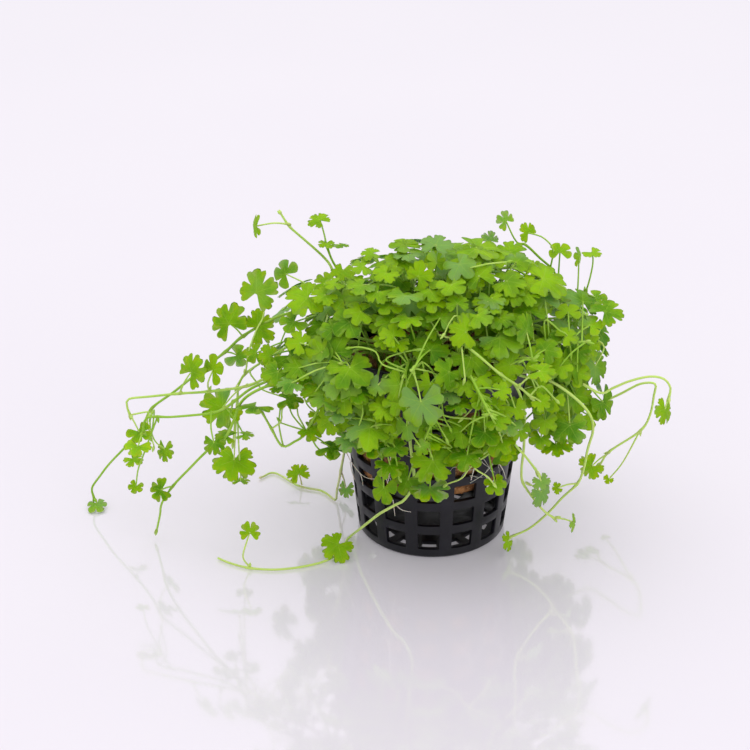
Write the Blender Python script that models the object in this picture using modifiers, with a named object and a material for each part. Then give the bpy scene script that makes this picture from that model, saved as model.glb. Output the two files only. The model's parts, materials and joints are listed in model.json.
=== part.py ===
"""A pennywort in its net pot: black basket, rockwool plug, creeping shoots and roots.

Each shoot is one grown piece, its stem, petioles and lobed leaves joined in one solid.
"""
import math
import random
from dataclasses import dataclass

import bmesh
import bpy
from mathutils import Matrix, Vector
from mathutils.kdtree import KDTree

MM = 0.001

# Net pot
POT_HEIGHT = 59.0 * MM
POT_BASE_RADIUS = 20.3 * MM
POT_TOP_RADIUS = 26.6 * MM
RIM_RADIUS = 27.8 * MM
RIM_HEIGHT = 2.2 * MM
POT_WALL = 1.2 * MM
POT_FOOT = 0.8 * MM
BASE_SLOT_INNER = 13.0 * MM
BASE_SLOT_OUTER = 16.0 * MM
WINDOW_COLUMNS = 14
WINDOW_ROWS = 6
WINDOW_SHARE = 0.63
WINDOW_HEIGHT = 5.0 * MM
WINDOW_PITCH = 7.75 * MM
FIRST_WINDOW = 3.0 * MM
WINDOW_TURN = math.radians(-3.5)

# Rockwool plug
PLUG_BOTTOM = 20.0 * MM
PLUG_TOP = 50.0 * MM
PLUG_GAP = 0.6 * MM
PLUG_SIDES = 24
PLUG_EDGE = 1.5 * MM
PLUG_EDGE_ANGLE = math.radians(50)

# Plant
STEM_RADIUS = 0.6 * MM
PETIOLE_RADIUS = 0.28 * MM
PETIOLE_TAPER = 0.7
STEM_SIDES = 3
STEM_TIP = 0.75
ROOT_RADIUS = 0.4 * MM
ROOT_TIP = 0.5
ROOT_ROW = 4
ROOT_STEP = 3 * MM
ROOT_DEPTH = 0.45 * MM
ROOT_BEND = ((1.2, 0.4, 0.3), (1.6, 1.2, 0.4), (1.2, 0.2, 1.0))
LEAF_THICKNESS = 0.9 * MM
LEAF_LOBES = 3
LEAF_SPREAD = math.radians(285)
LEAF_NOTCH = 0.20
LEAF_JOINT = 0.13
LOBE_SHARE = 0.70
LOBE_REACH = 0.52
STEM_STEP = 13.0 * MM
STEM_TURN = math.radians(30)
BALL_STEP = 1.0 * MM
PETIOLE_SPACING = 2
TABLE_LIFT = 0.55 * MM
GAP = 0.3 * MM
BLADE_REACH = 0.7 * MM
DEPTH_STEP = 1.4 * MM
DEPTH_TRIES = 22
SIDE_STEP = 1.7 * MM
SEED = 11
ROUTE_STEP = 1.0 * MM
BEND_STEPS = 3
STANDSTILL = 1e-6
SMALLEST_RUN = 1e-5
JOINT_DROPS = (0, 3, 7, 12)
BLADE_BALLS = ((0.26, 7), (0.5, 12))
FLATTEST_LEAF = 0.15
MERGE_DISTANCE = 1e-5
CAP_MERGE_DISTANCE = 1e-6
LEAF_AHEAD = 1.5 * MM
VIA_SHARE = 0.5

# Room round the pot
TABLE_SINK = 0.1 * MM
PLUG_SIDE_ROOM = 0.8 * MM
WALL_ROOM = 0.2 * MM

# How a stem leaves the plug and passes over the rim
FOOT_SHARE = 0.45
FOOT_NEAREST = 5 * MM
FOOT_FURTHEST = 19 * MM
FOOT_STEP = 1.7
FOOT_FAN = 0.22
FOOT_CROWDING = 8 * MM
FOOT_LIFT = 0.4 * MM
FOOT_RISE = 6 * MM
OVER_FAN = 0.09
OVER_INSET = 1.5 * MM
OVER_RISE = 3.2
OVER_RISE_STEP = 1.5
OUTSIDE_RIM = 3 * MM
OUTSIDE_LIFT = 0.5 * MM
HANGING_DROP = 4 * MM
LEAD_NEAREST = 3 * MM

# Where a tuft's stem ends
HUB_ABOVE_RIM = 7 * MM
HUB_SHARE = 0.72
HUB_INSET = 1 * MM
HUB_LIFT = 10 * MM
HUB_HIGHEST = 4 * MM
TUFT_DEPTH = 0.96

# The crown of leaves is a dome over the pot
DOME_CENTRE = Vector((-1.0, 0.0, 45.0)) * MM
DOME_RADII = Vector((50.0, 37.0, 44.0)) * MM
CROWN_HEART = Vector((0.0, 0.0, 50.0)) * MM

# The view that the photograph was taken from
VIEW_DISTANCE = 600.0 * MM
VIEW_WIDTH = 204.0 * MM
VIEW_PIXELS = 750
VIEW_TILT = math.radians(27)
VIEW_AIM = Vector((-15.8, 0.0, 46.0)) * MM
BACKWARDS = Vector((0, -math.cos(VIEW_TILT), math.sin(VIEW_TILT)))
SIDEWAYS = Vector((1, 0, 0))
UPWARDS = Vector((0, math.sin(VIEW_TILT), math.cos(VIEW_TILT)))
EYE = VIEW_AIM + BACKWARDS * VIEW_DISTANCE

POT_BLACK = (0.010, 0.010, 0.014)
ROCKWOOL_BROWN = (0.24, 0.13, 0.055)
LEAF_GREEN = (0.105, 0.30, 0.006)
BRIGHT_GREEN = (0.20, 0.42, 0.03)
PALE_GREEN = (0.46, 0.56, 0.24)
ROOT_CREAM = (0.72, 0.66, 0.48)

STEM_ROUGHNESS = 0.45
ROOT_ROUGHNESS = 0.6
PLASTIC_ROUGHNESS = 0.35
ROCKWOOL_ROUGHNESS = 0.95

TABLE = "table"


@dataclass
class Leaf:
    """A leaf: its centre and size in photo pixels, and the route point its petiole leaves."""
    u: float
    v: float
    wide: float
    high: float
    spot: int = -1
    via: tuple = ()


@dataclass
class Shoot:
    """A stem along route points (u, v, millimetres in front of the pot's axis), with leaves."""
    name: str
    colour: tuple
    route: tuple
    leaves: tuple


RUNNERS = (
    Shoot("runner_left_bright", BRIGHT_GREEN,
          ((372, 341, 12), (350, 335, 11), (330, 333, 10), (300, 341, 8), (285, 348, 8),
           (262, 362, 8), (245, 374, 8), (238, 385, 8)),
          (Leaf(234, 460, 43, 38, 7, ((237, 405), (235, 440))),
           Leaf(257, 292, 38, 42, 6, ((249, 351), (256, 331), (264, 313))),
           Leaf(330, 395, 38, 25, 3, ((311, 364), (320, 375))))),
    Shoot("runner_left_long", LEAF_GREEN,
          ((318, 303, 4), (300, 310, 4), (275, 318, 3), (243, 336, 1), (225, 352, 0),
           (200, 371, -1), (175, 391, -2), (152, 408, -3), (143, 425, -4), (128, 444, -5),
           (110, 463, -6), (100, 476, -7), (92, 488, -8), (94, 498, -8)),
          (Leaf(229, 323, 36, 39, 3), Leaf(258, 328, 32, 35, 3), Leaf(237, 355, 28, 24, 4),
           Leaf(133, 459, 20, 12, 9), Leaf(165, 449, 18, 25, 7, ((150, 425), (155, 441))),
           Leaf(97, 504, 20, 13, 13))),
    Shoot("runner_left_middle", BRIGHT_GREEN,
          ((345, 338, 14), (325, 342, 14), (305, 358, 14), (290, 370, 13), (270, 376, 12),
           (247, 386, 11), (209, 391.5, 10), (180, 393.5, 9), (150, 396.5, 8), (129, 399, 7),
           (127, 406, 7), (130, 415, 7)),
          (Leaf(139, 432, 24, 22, 11), Leaf(213, 370, 22, 31, 6, ((208, 383),)),
           Leaf(191, 372, 27, 36, 7), Leaf(223, 407, 43, 40, 5))),
    Shoot("runner_left_lower", LEAF_GREEN,
          ((338, 347, 17), (322, 358, 17), (300, 367, 17), (275, 378, 17), (252, 388, 16.5),
           (237, 399, 16), (225, 408, 15.5), (212, 413, 15), (190, 415.5, 14), (170, 417, 13),
           (147, 418, 12), (143, 432, 12)),
          (Leaf(138, 447, 28, 18, 11), Leaf(136, 486, 15, 15, 11, ((143, 456), (138, 470))),
           Leaf(214, 443, 22, 24, 7, ((211, 428),)), Leaf(227, 436, 25, 14, 6))),
    Shoot("runner_left_tip", LEAF_GREEN,
          ((345, 350, 20), (325, 362, 20.5), (305, 373, 21), (275, 383, 21), (252, 393, 20),
           (240, 404, 19), (234, 420, 18.5), (227, 435, 18), (216, 446, 17), (207, 451, 16),
           (190, 468, 14), (173, 486, 12), (162, 503, 10), (160, 515, 9), (157, 529, 8)),
          (Leaf(161, 490, 23, 25, 11),)),
    Shoot("runner_left_bent", LEAF_GREEN,
          ((352, 352, 23), (338, 362, 24.5), (325, 395, 25), (306, 432, 22), (294, 442, 21),
           (282, 446, 20), (271, 428, 20), (262, 412, 20)),
          (Leaf(310, 430, 27, 20, 3), Leaf(330, 447, 33, 16, 3))),
    Shoot("runner_top_left", BRIGHT_GREEN,
          ((345, 285, -4), (328, 262, -5), (315, 249, -5), (300, 236, -5), (289, 226, -5),
           (281, 214, -5)),
          (Leaf(256, 226, 10, 23, 4, ((275, 223),)),)),
    Shoot("shoot_top_left", LEAF_GREEN,
          ((358, 300, -9), (345, 280, -9), (333, 262, -9), (327, 247, -9)),
          (Leaf(320, 220, 23, 17, 3), Leaf(343, 270, 24, 20, 1),
           Leaf(327, 282, 26, 22, 1))),
    Shoot("runner_right_arch", BRIGHT_GREEN,
          ((470, 290, -4), (490, 272, -4), (510, 267, -4), (520, 266, -4), (540, 277, -3),
           (560, 285, -2), (567, 292, -1), (563, 301, 0), (550, 310, 0)),
          (Leaf(543, 307, 22, 14, 8), Leaf(562, 293, 24, 14, 5), Leaf(533, 267, 22, 16, 3),
           Leaf(510, 252, 32, 25, 2))),
    Shoot("runner_top_right", LEAF_GREEN,
          ((480, 285, -12), (500, 262, -12), (515, 249, -12), (524, 244, -12), (540, 258, -12),
           (553, 270, -12), (558, 283, -12)),
          (Leaf(506, 221, 18, 20, 3, ((514, 238),)),
           Leaf(528, 233, 18, 21, 5, ((553, 250), (545, 239), (537, 235))),
           Leaf(560, 252, 22, 19, 6), Leaf(490, 240, 17, 18, 1))),
    Shoot("shoot_right_top", LEAF_GREEN,
          ((520, 325, -8), (540, 330, -8), (563, 325, -8), (577, 312, -8), (585, 295, -8)),
          (Leaf(592, 252, 21, 10, 4, ((590, 278), (593, 262))),
           Leaf(579, 258, 9, 20, 3, ((578, 285),)), Leaf(595, 297, 24, 15, 4),
           Leaf(577, 322, 24, 18, 2))),
    Shoot("runner_right_middle", BRIGHT_GREEN,
          ((500, 345, 12), (520, 350, 12), (543, 357, 12), (560, 355, 11), (572, 350, 10),
           (594, 338, 9)),
          (Leaf(605, 312, 35, 27, 5, ((601, 328),)), Leaf(595, 366, 29, 38, 5, ((604, 347),)),
           Leaf(553, 338, 25, 29, 3))),
    Shoot("runner_right_far", PALE_GREEN,
          ((520, 372, 6), (545, 368, 6), (575, 380, 6), (600, 393, 6), (613, 388, 6),
           (630, 381, 7), (650, 376.5, 8), (664, 379, 8), (670.5, 388, 8), (669, 397, 8)),
          (Leaf(665, 409, 19, 30, 9),)),
    Shoot("runner_right_far_branch", PALE_GREEN,
          ((520, 383, 1), (545, 380, 1), (575, 392, 1), (598, 402, 1), (618, 395, 2),
           (640, 384, 3), (655, 384, 4), (654, 395, 4), (650, 415, 5), (640, 431, 6),
           (610, 451, 7), (601, 463, 7)),
          (Leaf(592, 466, 25, 25, 10), Leaf(609, 479, 11, 11, 9, ((623, 462),)))),
    Shoot("runner_right_front", PALE_GREEN,
          ((522, 376, 22), (548, 380, 25), (575, 398, 25), (590, 415, 25), (593, 430, 24),
           (588, 448, 23), (583, 471, 21), (577, 484, 20), (562, 498, 19), (548, 513, 18),
           (530, 528, 18), (513, 536, 18)),
          (Leaf(508, 541, 11, 20, 11),)),
    Shoot("runner_right_inner", PALE_GREEN,
          ((498, 372, 26), (515, 385, 30), (524, 410, 30), (524, 445, 29), (521.5, 470, 28),
           (523, 483, 27), (533, 498, 26), (544, 511, 25), (554, 518, 24)),
          (Leaf(573, 522, 8, 18, 8), Leaf(541, 492, 22, 30, 5))),
    Shoot("runner_front_long", BRIGHT_GREEN,
          ((465, 345, 20), (470, 365, 28), (484, 400, 34), (490, 410, 34), (505, 430, 34),
           (517, 447, 34), (525, 456, 34), (536, 470, 34)),
          (Leaf(541, 481, 18, 18, 7), Leaf(500, 440, 33, 30, 4))),
    Shoot("runner_front_right", BRIGHT_GREEN,
          ((452, 336, 16), (465, 345, 24), (480, 357, 27), (500, 374, 28), (518, 386, 28),
           (530, 396, 28)),
          (Leaf(541, 402, 20, 18, 5), Leaf(515, 408, 26, 24, 3), Leaf(540, 371, 30, 18, 4))),
    Shoot("runner_table_front", PALE_GREEN,
          ((412, 368, 26), (408, 395, 32), (410, 440, 30), (414, 480, 28), (405, 499, 27),
           (395, 505, 26), (380, 513.5, 22), (370, 521, 19), (360, 529, 15.5),
           (350, 537, TABLE), (341, 551, TABLE), (325, 561, TABLE), (300, 567, TABLE),
           (275, 569.5, TABLE), (250, 568, TABLE), (230, 563, TABLE), (218, 558, TABLE)),
          (Leaf(338, 545, 38, 34, 10), Leaf(250, 532, 21, 21, 14, ((243, 557), (247, 541))))),
    Shoot("runner_table_left", PALE_GREEN,
          ((345, 296, -8), (326, 325, -13), (330, 360, -15), (340, 400, -15), (345, 440, -13),
           (341, 470, -13), (337, 490, -14), (335, 500, TABLE), (322, 491, TABLE),
           (299, 486, TABLE), (275, 473, TABLE), (262, 477, TABLE)),
          (Leaf(299, 474, 22, 20, 9), Leaf(346, 488, 15, 20, 5))),
)

TUFTS = (
    ("tuft_front_left", (Leaf(370, 428, 45, 35), Leaf(390, 465, 29, 22), Leaf(384, 488, 22, 30))),
    ("tuft_front", (Leaf(433, 460, 41, 40), Leaf(408, 480, 27, 28), Leaf(430, 488, 36, 22))),
    ("tuft_front_right", (Leaf(460, 432, 32, 30), Leaf(485, 432, 32, 28), Leaf(467, 455, 30, 24),
                          Leaf(495, 483, 21, 19))),
    ("tuft_right_hanging", (Leaf(556, 445, 29, 18), Leaf(545, 420, 24, 22))),
    ("tuft_top_left", (Leaf(372, 253, 20, 12), Leaf(360, 285, 26, 20))),
    ("tuft_top_middle", (Leaf(404, 245, 28, 14), Leaf(394, 266, 18, 14))),
    ("tuft_top", (Leaf(436, 245, 31, 23), Leaf(418, 276, 24, 27))),
    ("tuft_top_right", (Leaf(462, 257, 24, 16), Leaf(480, 264, 26, 20))),
    ("tuft_upper_right", (Leaf(510, 292, 28, 24), Leaf(527, 284, 24, 18))),
    ("tuft_upper_left", (Leaf(286, 274, 23, 27), Leaf(308, 298, 38, 32))),
    ("tuft_left_front", (Leaf(335, 352, 34, 38), Leaf(350, 368, 43, 35), Leaf(355, 389, 38, 25))),
    ("tuft_left_low", (Leaf(290, 355, 33, 35), Leaf(305, 379, 24, 18))),
    ("tuft_centre_left", (Leaf(390, 322, 28, 22), Leaf(398, 342, 24, 18))),
    ("tuft_centre_low", (Leaf(400, 385, 35, 35), Leaf(407, 426, 21, 28))),
    ("tuft_centre", (Leaf(430, 350, 36, 30), Leaf(421, 402, 40, 44))),
    ("tuft_centre_right", (Leaf(466, 332, 30, 32), Leaf(500, 338, 40, 32))),
    ("tuft_right_inner", (Leaf(526, 330, 18, 30), Leaf(510, 365, 30, 30), Leaf(531, 358, 24, 22))),
    ("tuft_right_outer", (Leaf(560, 366, 26, 22), Leaf(578, 352, 24, 22), Leaf(590, 325, 24, 18))),
    ("tuft_right_low", (Leaf(575, 395, 32, 35), Leaf(570, 426, 34, 33), Leaf(603, 402, 22, 33))),
)

# The far side, which the photograph doesn't show
BACK_TUFTS = 8
BACK_LEAVES = 3
BACK_START = 8
BACK_SWEEP = 164
BACK_HEIGHTS = (0.10, 0.55, -0.25)
BACK_DEPTH = 0.92
BACK_SHIFT_SHARE = 0.6
BACK_FAN = 0.2
BACK_SPREAD = (6.5, 10)
BACK_OUT = (-2, 3)
BACK_LIFT = 0.7
BACK_SIZES = (7.5, 10.5)
BACK_RUNNERS = (("runner_back_left", 108, 36, 12), ("runner_back_right", 76, 44, 16))
TRAIL_SHIFT_SHARE = 0.5
TRAIL_LENGTH_SHARE = 0.7
TRAIL_LEAVES = ((4, 4, 9), (5, 0, 8), (7, 5, 7))
TRAIL_TURNS = (1, -1, 1.8, -1.8)
TRAIL_REACH = 5
TRAIL_LOWEST = 3
TRAIL_LEAN = 0.6
ROOT_WINDOWS = (("root_front_left", 3, 10), ("root_front_right", 1, 11), ("root_side", 4, 8))


def sight_line(u, v):
    """Direction from the eye through a pixel of the photograph."""
    pixel = VIEW_WIDTH / VIEW_PIXELS
    middle = VIEW_PIXELS / 2
    across = SIDEWAYS * (u - middle) * pixel
    along = UPWARDS * (middle - v) * pixel
    return (across + along - BACKWARDS * VIEW_DISTANCE).normalized()


def on_plane(u, v, out):
    """The point behind a pixel, out metres in front of the pot's axis."""
    line = sight_line(u, v)
    return EYE + line * ((-out - EYE.y) / line.y)


def on_table(u, v, lift):
    """The point behind a pixel, lift metres above the table."""
    line = sight_line(u, v)
    return EYE + line * ((lift - EYE.z) / line.z)


def on_dome(u, v, share):
    """The point behind a pixel on the crown's dome, shrunk to a share of its size."""
    line = sight_line(u, v)
    radii = DOME_RADII * share
    start = Vector([(EYE[i] - DOME_CENTRE[i]) / radii[i] for i in range(3)])
    step = Vector([line[i] / radii[i] for i in range(3)])
    half = start.dot(step) / step.length_squared
    inside = half * half - (start.length_squared - 1) / step.length_squared
    return EYE + line * (-half - math.sqrt(max(inside, 0.0)))


def smooth_route(points, step):
    """Points about one step apart on a smooth curve through the given points."""
    ends = [points[0] * 2 - points[1]] + list(points) + [points[-1] * 2 - points[-2]]
    route = [points[0]]
    for i in range(1, len(ends) - 2):
        before, here, there, after = ends[i - 1:i + 3]
        pieces = max(1, round((there - here).length / step))
        for k in range(1, pieces + 1):
            t = k / pieces
            route.append(0.5 * (2 * here + (there - before) * t
                                + (2 * before - 5 * here + 4 * there - after) * t ** 2
                                + (3 * here - before - 3 * there + after) * t ** 3))
            route[-1].z = max(route[-1].z, TABLE_LIFT)
    return route


def along(line):
    """Points close together on straight runs between the points of a line."""
    points = [line[0]]
    for here, there in zip(line, line[1:]):
        pieces = max(1, round((there - here).length / BALL_STEP))
        points += [here.lerp(there, (k + 1) / pieces) for k in range(pieces)]
    return points


def thin_route(points, step):
    """The fewest points of a smooth route that keep its bends, about one step apart at most."""
    fine = smooth_route(points, ROUTE_STEP)
    kept = [fine[0]]
    heading = (fine[1] - fine[0])
    for here, ahead in zip(fine[1:-1], fine[2:]):
        onward = ahead - here
        if onward.length < STANDSTILL:
            continue
        bent = onward.angle(heading, 0.0) > STEM_TURN
        if (here - kept[-1]).length > step or (bent and (here - kept[-1]).length > step / BEND_STEPS):
            kept.append(here)
            heading = onward
    return kept + [fine[-1]]


def pot_radius(height):
    """Outer radius of the pot's wall at a height."""
    return POT_BASE_RADIUS + (POT_TOP_RADIUS - POT_BASE_RADIUS) * height / POT_HEIGHT


def outside_pot(point, reach):
    """Whether a ball of the given reach stays clear of the pot, the plug and the table."""
    radius = math.hypot(point.x, point.y)
    if point.z < reach - TABLE_SINK:
        return False
    if point.z > POT_HEIGHT + reach:
        return True
    if radius < POT_TOP_RADIUS - POT_WALL - reach - PLUG_SIDE_ROOM:
        return point.z > PLUG_TOP
    lip = RIM_RADIUS if point.z > POT_HEIGHT - 2 * RIM_HEIGHT - reach else pot_radius(point.z)
    return radius > lip + reach + WALL_ROOM


class Room:
    """Keeps what each shoot fills, as balls, so that no two shoots meet."""

    def __init__(self):
        self.points = []
        self.owners = []
        self.tree = None

    def add(self, points, owner, reach):
        """Fill the places of a shoot's points with balls."""
        self.points += points
        self.owners += [(owner, reach)] * len(points)
        self.tree = KDTree(len(self.points))
        for index, point in enumerate(self.points):
            self.tree.insert(point, index)
        self.tree.balance()

    def free(self, points, owner, reach):
        """Whether the points are clear of other shoots, the pot and the table."""
        for point in points:
            if not outside_pot(point, reach):
                return False
            if self.tree is None:
                continue
            for _, index, distance in self.tree.find_range(point, reach + BLADE_REACH + GAP):
                other, other_reach = self.owners[index]
                if other != owner and distance < reach + other_reach + GAP:
                    return False
        return True


def depth_shifts(count):
    """Zero, then steps nearer to and further from the viewer, growing in turn."""
    yield 0.0
    for i in range(1, count):
        yield DEPTH_STEP * ((i + 1) // 2) * (1 if i % 2 else -1)


def leaf_outline():
    """Outline of a three-lobed leaf, one unit across, with its notch towards -Y."""
    points = [(0.0, -LEAF_NOTCH)]
    width = LEAF_SPREAD / LEAF_LOBES
    for lobe in range(LEAF_LOBES):
        middle = (math.pi + LEAF_SPREAD) / 2 - width * (lobe + 0.5)
        for side in (1, -1):
            angle = middle + side * width * LOBE_SHARE / 2
            points.append((math.cos(angle) * LOBE_REACH, math.sin(angle) * LOBE_REACH))
        if lobe < LEAF_LOBES - 1:
            angle = middle - width / 2
            points.append((math.cos(angle) * LEAF_NOTCH, math.sin(angle) * LEAF_NOTCH))
    return points


def link(collection, obj):
    """Put an object in one collection."""
    collection.objects.link(obj)
    return obj


def leaf_mesh(name, outline):
    """A closed leaf blade one unit across: two fans that share their rim, one unit thick."""
    bm = bmesh.new()
    for side in (1, -1):
        fan = bmesh.ops.create_circle(
            bm, cap_ends=True, cap_tris=True, segments=len(outline), radius=1.0)["verts"]
        rim = sorted(fan, key=lambda vert: math.atan2(vert.co.y, vert.co.x))
        middle = min(fan, key=lambda vert: vert.co.length)
        rim.remove(middle)
        middle.co.z = side / 2
        for vert, (x, y) in zip(rim, sorted(outline, key=lambda spot: math.atan2(spot[1], spot[0]))):
            vert.co = (x, y, 0)
    bmesh.ops.remove_doubles(bm, verts=bm.verts, dist=MERGE_DISTANCE)
    bmesh.ops.recalc_face_normals(bm, faces=bm.faces)
    mesh = bpy.data.meshes.new(name)
    bm.to_mesh(mesh)
    bm.free()
    return mesh


def curve_to_mesh(name, curve):
    """The closed mesh of a curve, with its caps joined on."""
    holder = bpy.data.objects.new(name + "_curve", curve)
    bpy.context.scene.collection.objects.link(holder)
    shape = holder.evaluated_get(bpy.context.evaluated_depsgraph_get())
    mesh = bpy.data.meshes.new_from_object(shape)
    bpy.data.objects.remove(holder)
    mesh.name = name
    bm = bmesh.new()
    bm.from_mesh(mesh)
    bmesh.ops.remove_doubles(bm, verts=bm.verts, dist=CAP_MERGE_DISTANCE)
    bmesh.ops.recalc_face_normals(bm, faces=bm.faces)
    bm.to_mesh(mesh)
    bm.free()
    return mesh


def stem_profile():
    """A small triangle that every stem is drawn along its route with."""
    curve = bpy.data.curves.new("stem_profile", "CURVE")
    curve.dimensions = "2D"
    spline = curve.splines.new("POLY")
    spline.points.add(STEM_SIDES - 1)
    for i, point in enumerate(spline.points):
        angle = 2 * math.pi * i / STEM_SIDES
        point.co = (math.cos(angle) * MM, math.sin(angle) * MM, 0, 1)
    spline.use_cyclic_u = True
    profile = bpy.data.objects.new("stem_profile", curve)
    profile.hide_render = True
    profile.display_type = "WIRE"
    return profile


def tube_mesh(name, profile, route, radius, tip_share):
    """A thin stem that tapers along its route."""
    curve = bpy.data.curves.new(name, "CURVE")
    curve.dimensions = "3D"
    curve.bevel_mode = "OBJECT"
    curve.bevel_object = profile
    curve.use_fill_caps = True
    spline = curve.splines.new("POLY")
    spline.points.add(len(route) - 1)
    for i, place in enumerate(route):
        spline.points[i].co = (*place, 1)
        spline.points[i].radius = radius / MM * (1 + (tip_share - 1) * i / (len(route) - 1))
    return curve_to_mesh(name, curve)


def rod_mesh(name, start, end, radius):
    """A straight petiole with three sides."""
    bm = bmesh.new()
    length = (end - start).length
    bmesh.ops.create_cone(bm, cap_ends=True, segments=STEM_SIDES, radius1=radius,
                          radius2=radius * PETIOLE_TAPER, depth=length)
    turn = (end - start).to_track_quat("Z", "Y").to_matrix().to_4x4()
    bm.transform(Matrix.Translation((start + end) / 2) @ turn)
    mesh = bpy.data.meshes.new(name)
    bm.to_mesh(mesh)
    bm.free()
    return mesh


def material(name, colour, roughness):
    """A plain finish for one sub-part."""
    finish = bpy.data.materials.new(name)
    finish.use_nodes = True
    shader = finish.node_tree.nodes["Principled BSDF"]
    shader.inputs["Base Color"].default_value = (*colour, 1)
    shader.inputs["Roughness"].default_value = roughness
    shader.inputs["Metallic"].default_value = 0.0
    return finish


class Growth:
    """One shoot as it is laid out: its stem's route and its leaves' frames and petioles."""

    def __init__(self, room, name, colour, route):
        self.name = name
        self.colour = colour
        self.route = route
        self.stem = thin_route(route, STEM_STEP)
        self.balls = along(self.stem)
        self.petioles = []
        self.blades = []
        room.add(self.balls, name, STEM_RADIUS)

    def joint_near(self, place):
        """The point of the stem that is nearest to a place."""
        return min(self.balls, key=lambda ball: (ball - place).length)

    def joints_below(self, joint):
        """A joint on the stem and others further down, where a petiole may start instead."""
        index = self.balls.index(joint)
        return [self.balls[max(index - drop, 1)] for drop in JOINT_DROPS]


def from_plug(first, turn):
    """Points that lead from the plug's top to a route's first point, over the pot's rim."""
    angle = math.atan2(first.y, first.x)
    reach = math.hypot(first.x, first.y)
    start_reach = min(max(reach * FOOT_SHARE, FOOT_NEAREST), FOOT_FURTHEST)
    start_reach += (turn % 4 - 1.5) * FOOT_STEP * MM
    start_angle = angle + FOOT_FAN * ((turn * 5) % 7 - 3) / max(start_reach / FOOT_CROWDING, 1)
    start = Vector((math.cos(start_angle), math.sin(start_angle), 0)) * start_reach
    start.z = PLUG_TOP + FOOT_LIFT
    route = [start, start + Vector((0, 0, FOOT_RISE))]
    over_angle = angle + OVER_FAN * ((turn * 3) % 7 - 3)
    away = Vector((math.cos(over_angle), math.sin(over_angle), 0))
    if reach > RIM_RADIUS:
        rise = (OVER_RISE + turn % 3 * OVER_RISE_STEP) * MM
        route.append(away * (RIM_RADIUS - OVER_INSET) + Vector((0, 0, POT_HEIGHT + rise)))
    if reach > RIM_RADIUS and first.z < POT_HEIGHT - HANGING_DROP:
        route.append(away * (RIM_RADIUS + OUTSIDE_RIM) + Vector((0, 0, POT_HEIGHT + OUTSIDE_LIFT)))
    return route


def place_point(u, v, where, shift):
    """A route point from its pixel and depth."""
    if where == TABLE:
        return on_table(u, v, TABLE_LIFT)
    return on_plane(u, v, where * MM + shift)


def route_for(shoot, shift, turn):
    """The stem's whole route at one shift in depth."""
    points = [place_point(u, v, out, shift) for u, v, out in shoot.route]
    lead = from_plug(points[0], turn)
    if (points[0] - lead[-1]).length < LEAD_NEAREST:
        lead.pop()
    return lead + points


def grow_stem(room, name, make_route):
    """The first route, over a few shifts in depth, that is clear of what stands there."""
    for turn, shift in enumerate(depth_shifts(DEPTH_TRIES * 2)):
        route = make_route(shift, turn)
        if room.free(along(thin_route(route, STEM_STEP))[2:], name, STEM_RADIUS):
            return route
    return None


def leaf_frame(leaf, place, root):
    """Sideways, forwards and normal of a leaf whose notch turns towards its root."""
    shape = min(leaf.wide, leaf.high) / max(leaf.wide, leaf.high)
    turn = math.acos(max(min(shape, 1.0), FLATTEST_LEAF))
    aside = SIDEWAYS * (1 if place.x > DOME_CENTRE.x else -1)
    tilt_to = UPWARDS if leaf.wide >= leaf.high else aside
    normal = BACKWARDS * math.cos(turn) + tilt_to * math.sin(turn)
    return frame_from(normal, place, root)


def frame_from(normal, place, root):
    """A leaf's axes from its normal, with its notch towards the root of its petiole."""
    forwards = place - root
    forwards -= normal * forwards.dot(normal)
    if forwards.length < SMALLEST_RUN:
        forwards = normal.orthogonal()
    forwards.normalize()
    return forwards.cross(normal).normalized(), forwards, normal.normalized()


def blade_points(place, axes, size):
    """Balls over a leaf's blade."""
    points = [place.copy()]
    for ring, count in BLADE_BALLS:
        for i in range(count):
            angle = 2 * math.pi * i / count
            spoke = axes[0] * math.cos(angle) + axes[1] * math.sin(angle)
            points.append(place + spoke * size * ring)
    return points


def grow_leaf(room, growth, place, root, via, axes, size):
    """Add a leaf and its petiole to a shoot, if it is clear of the others."""
    joint = place + axes[1] * size * LEAF_JOINT
    petiole = [root] + list(via) + [joint]
    if via:
        petiole = thin_route(petiole, STEM_STEP)
    balls = along(petiole)[2:]
    blade = blade_points(place, axes, size)
    if not room.free(balls, growth.name, PETIOLE_RADIUS):
        return False
    if not room.free(blade, growth.name, BLADE_REACH):
        return False
    growth.petioles.append(petiole)
    growth.blades.append((place, axes, size))
    room.add(balls, growth.name, PETIOLE_RADIUS)
    room.add(blade, growth.name, BLADE_REACH)
    return True


def pixel_size(leaf, place):
    """A leaf's real width at its distance from the eye."""
    distance = (place - EYE).dot(-BACKWARDS)
    return max(leaf.wide, leaf.high) * VIEW_WIDTH / VIEW_PIXELS * distance / VIEW_DISTANCE


def grow_photo_leaf(room, growth, leaf, place_of, root, via_of):
    """Place a leaf behind its pixel, nearer or further until it is clear."""
    for shift in depth_shifts(DEPTH_TRIES):
        place = place_of(shift)
        size = pixel_size(leaf, place)
        for start in growth.joints_below(root):
            axes = leaf_frame(leaf, place, start)
            if grow_leaf(room, growth, place, start, via_of(shift), axes, size):
                return True
    return False


def grow_runner_leaves(room, growth, shoot):
    """The leaves of a runner, each on a petiole from its route point."""
    offset = len(growth.route) - len(shoot.route)
    for leaf in shoot.leaves:
        root = growth.joint_near(growth.route[offset + leaf.spot])
        ahead = -root.y + LEAF_AHEAD
        grow_photo_leaf(
            room, growth, leaf,
            lambda shift: on_plane(leaf.u, leaf.v, ahead + shift), root,
            lambda shift: [on_plane(u, v, ahead + shift * VIA_SHARE) for u, v in leaf.via])


def dome_normal(point):
    """Outward direction of the crown's dome at a point."""
    scaled = point - DOME_CENTRE
    return Vector([scaled[i] / DOME_RADII[i] ** 2 for i in range(3)]).normalized()


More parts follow.
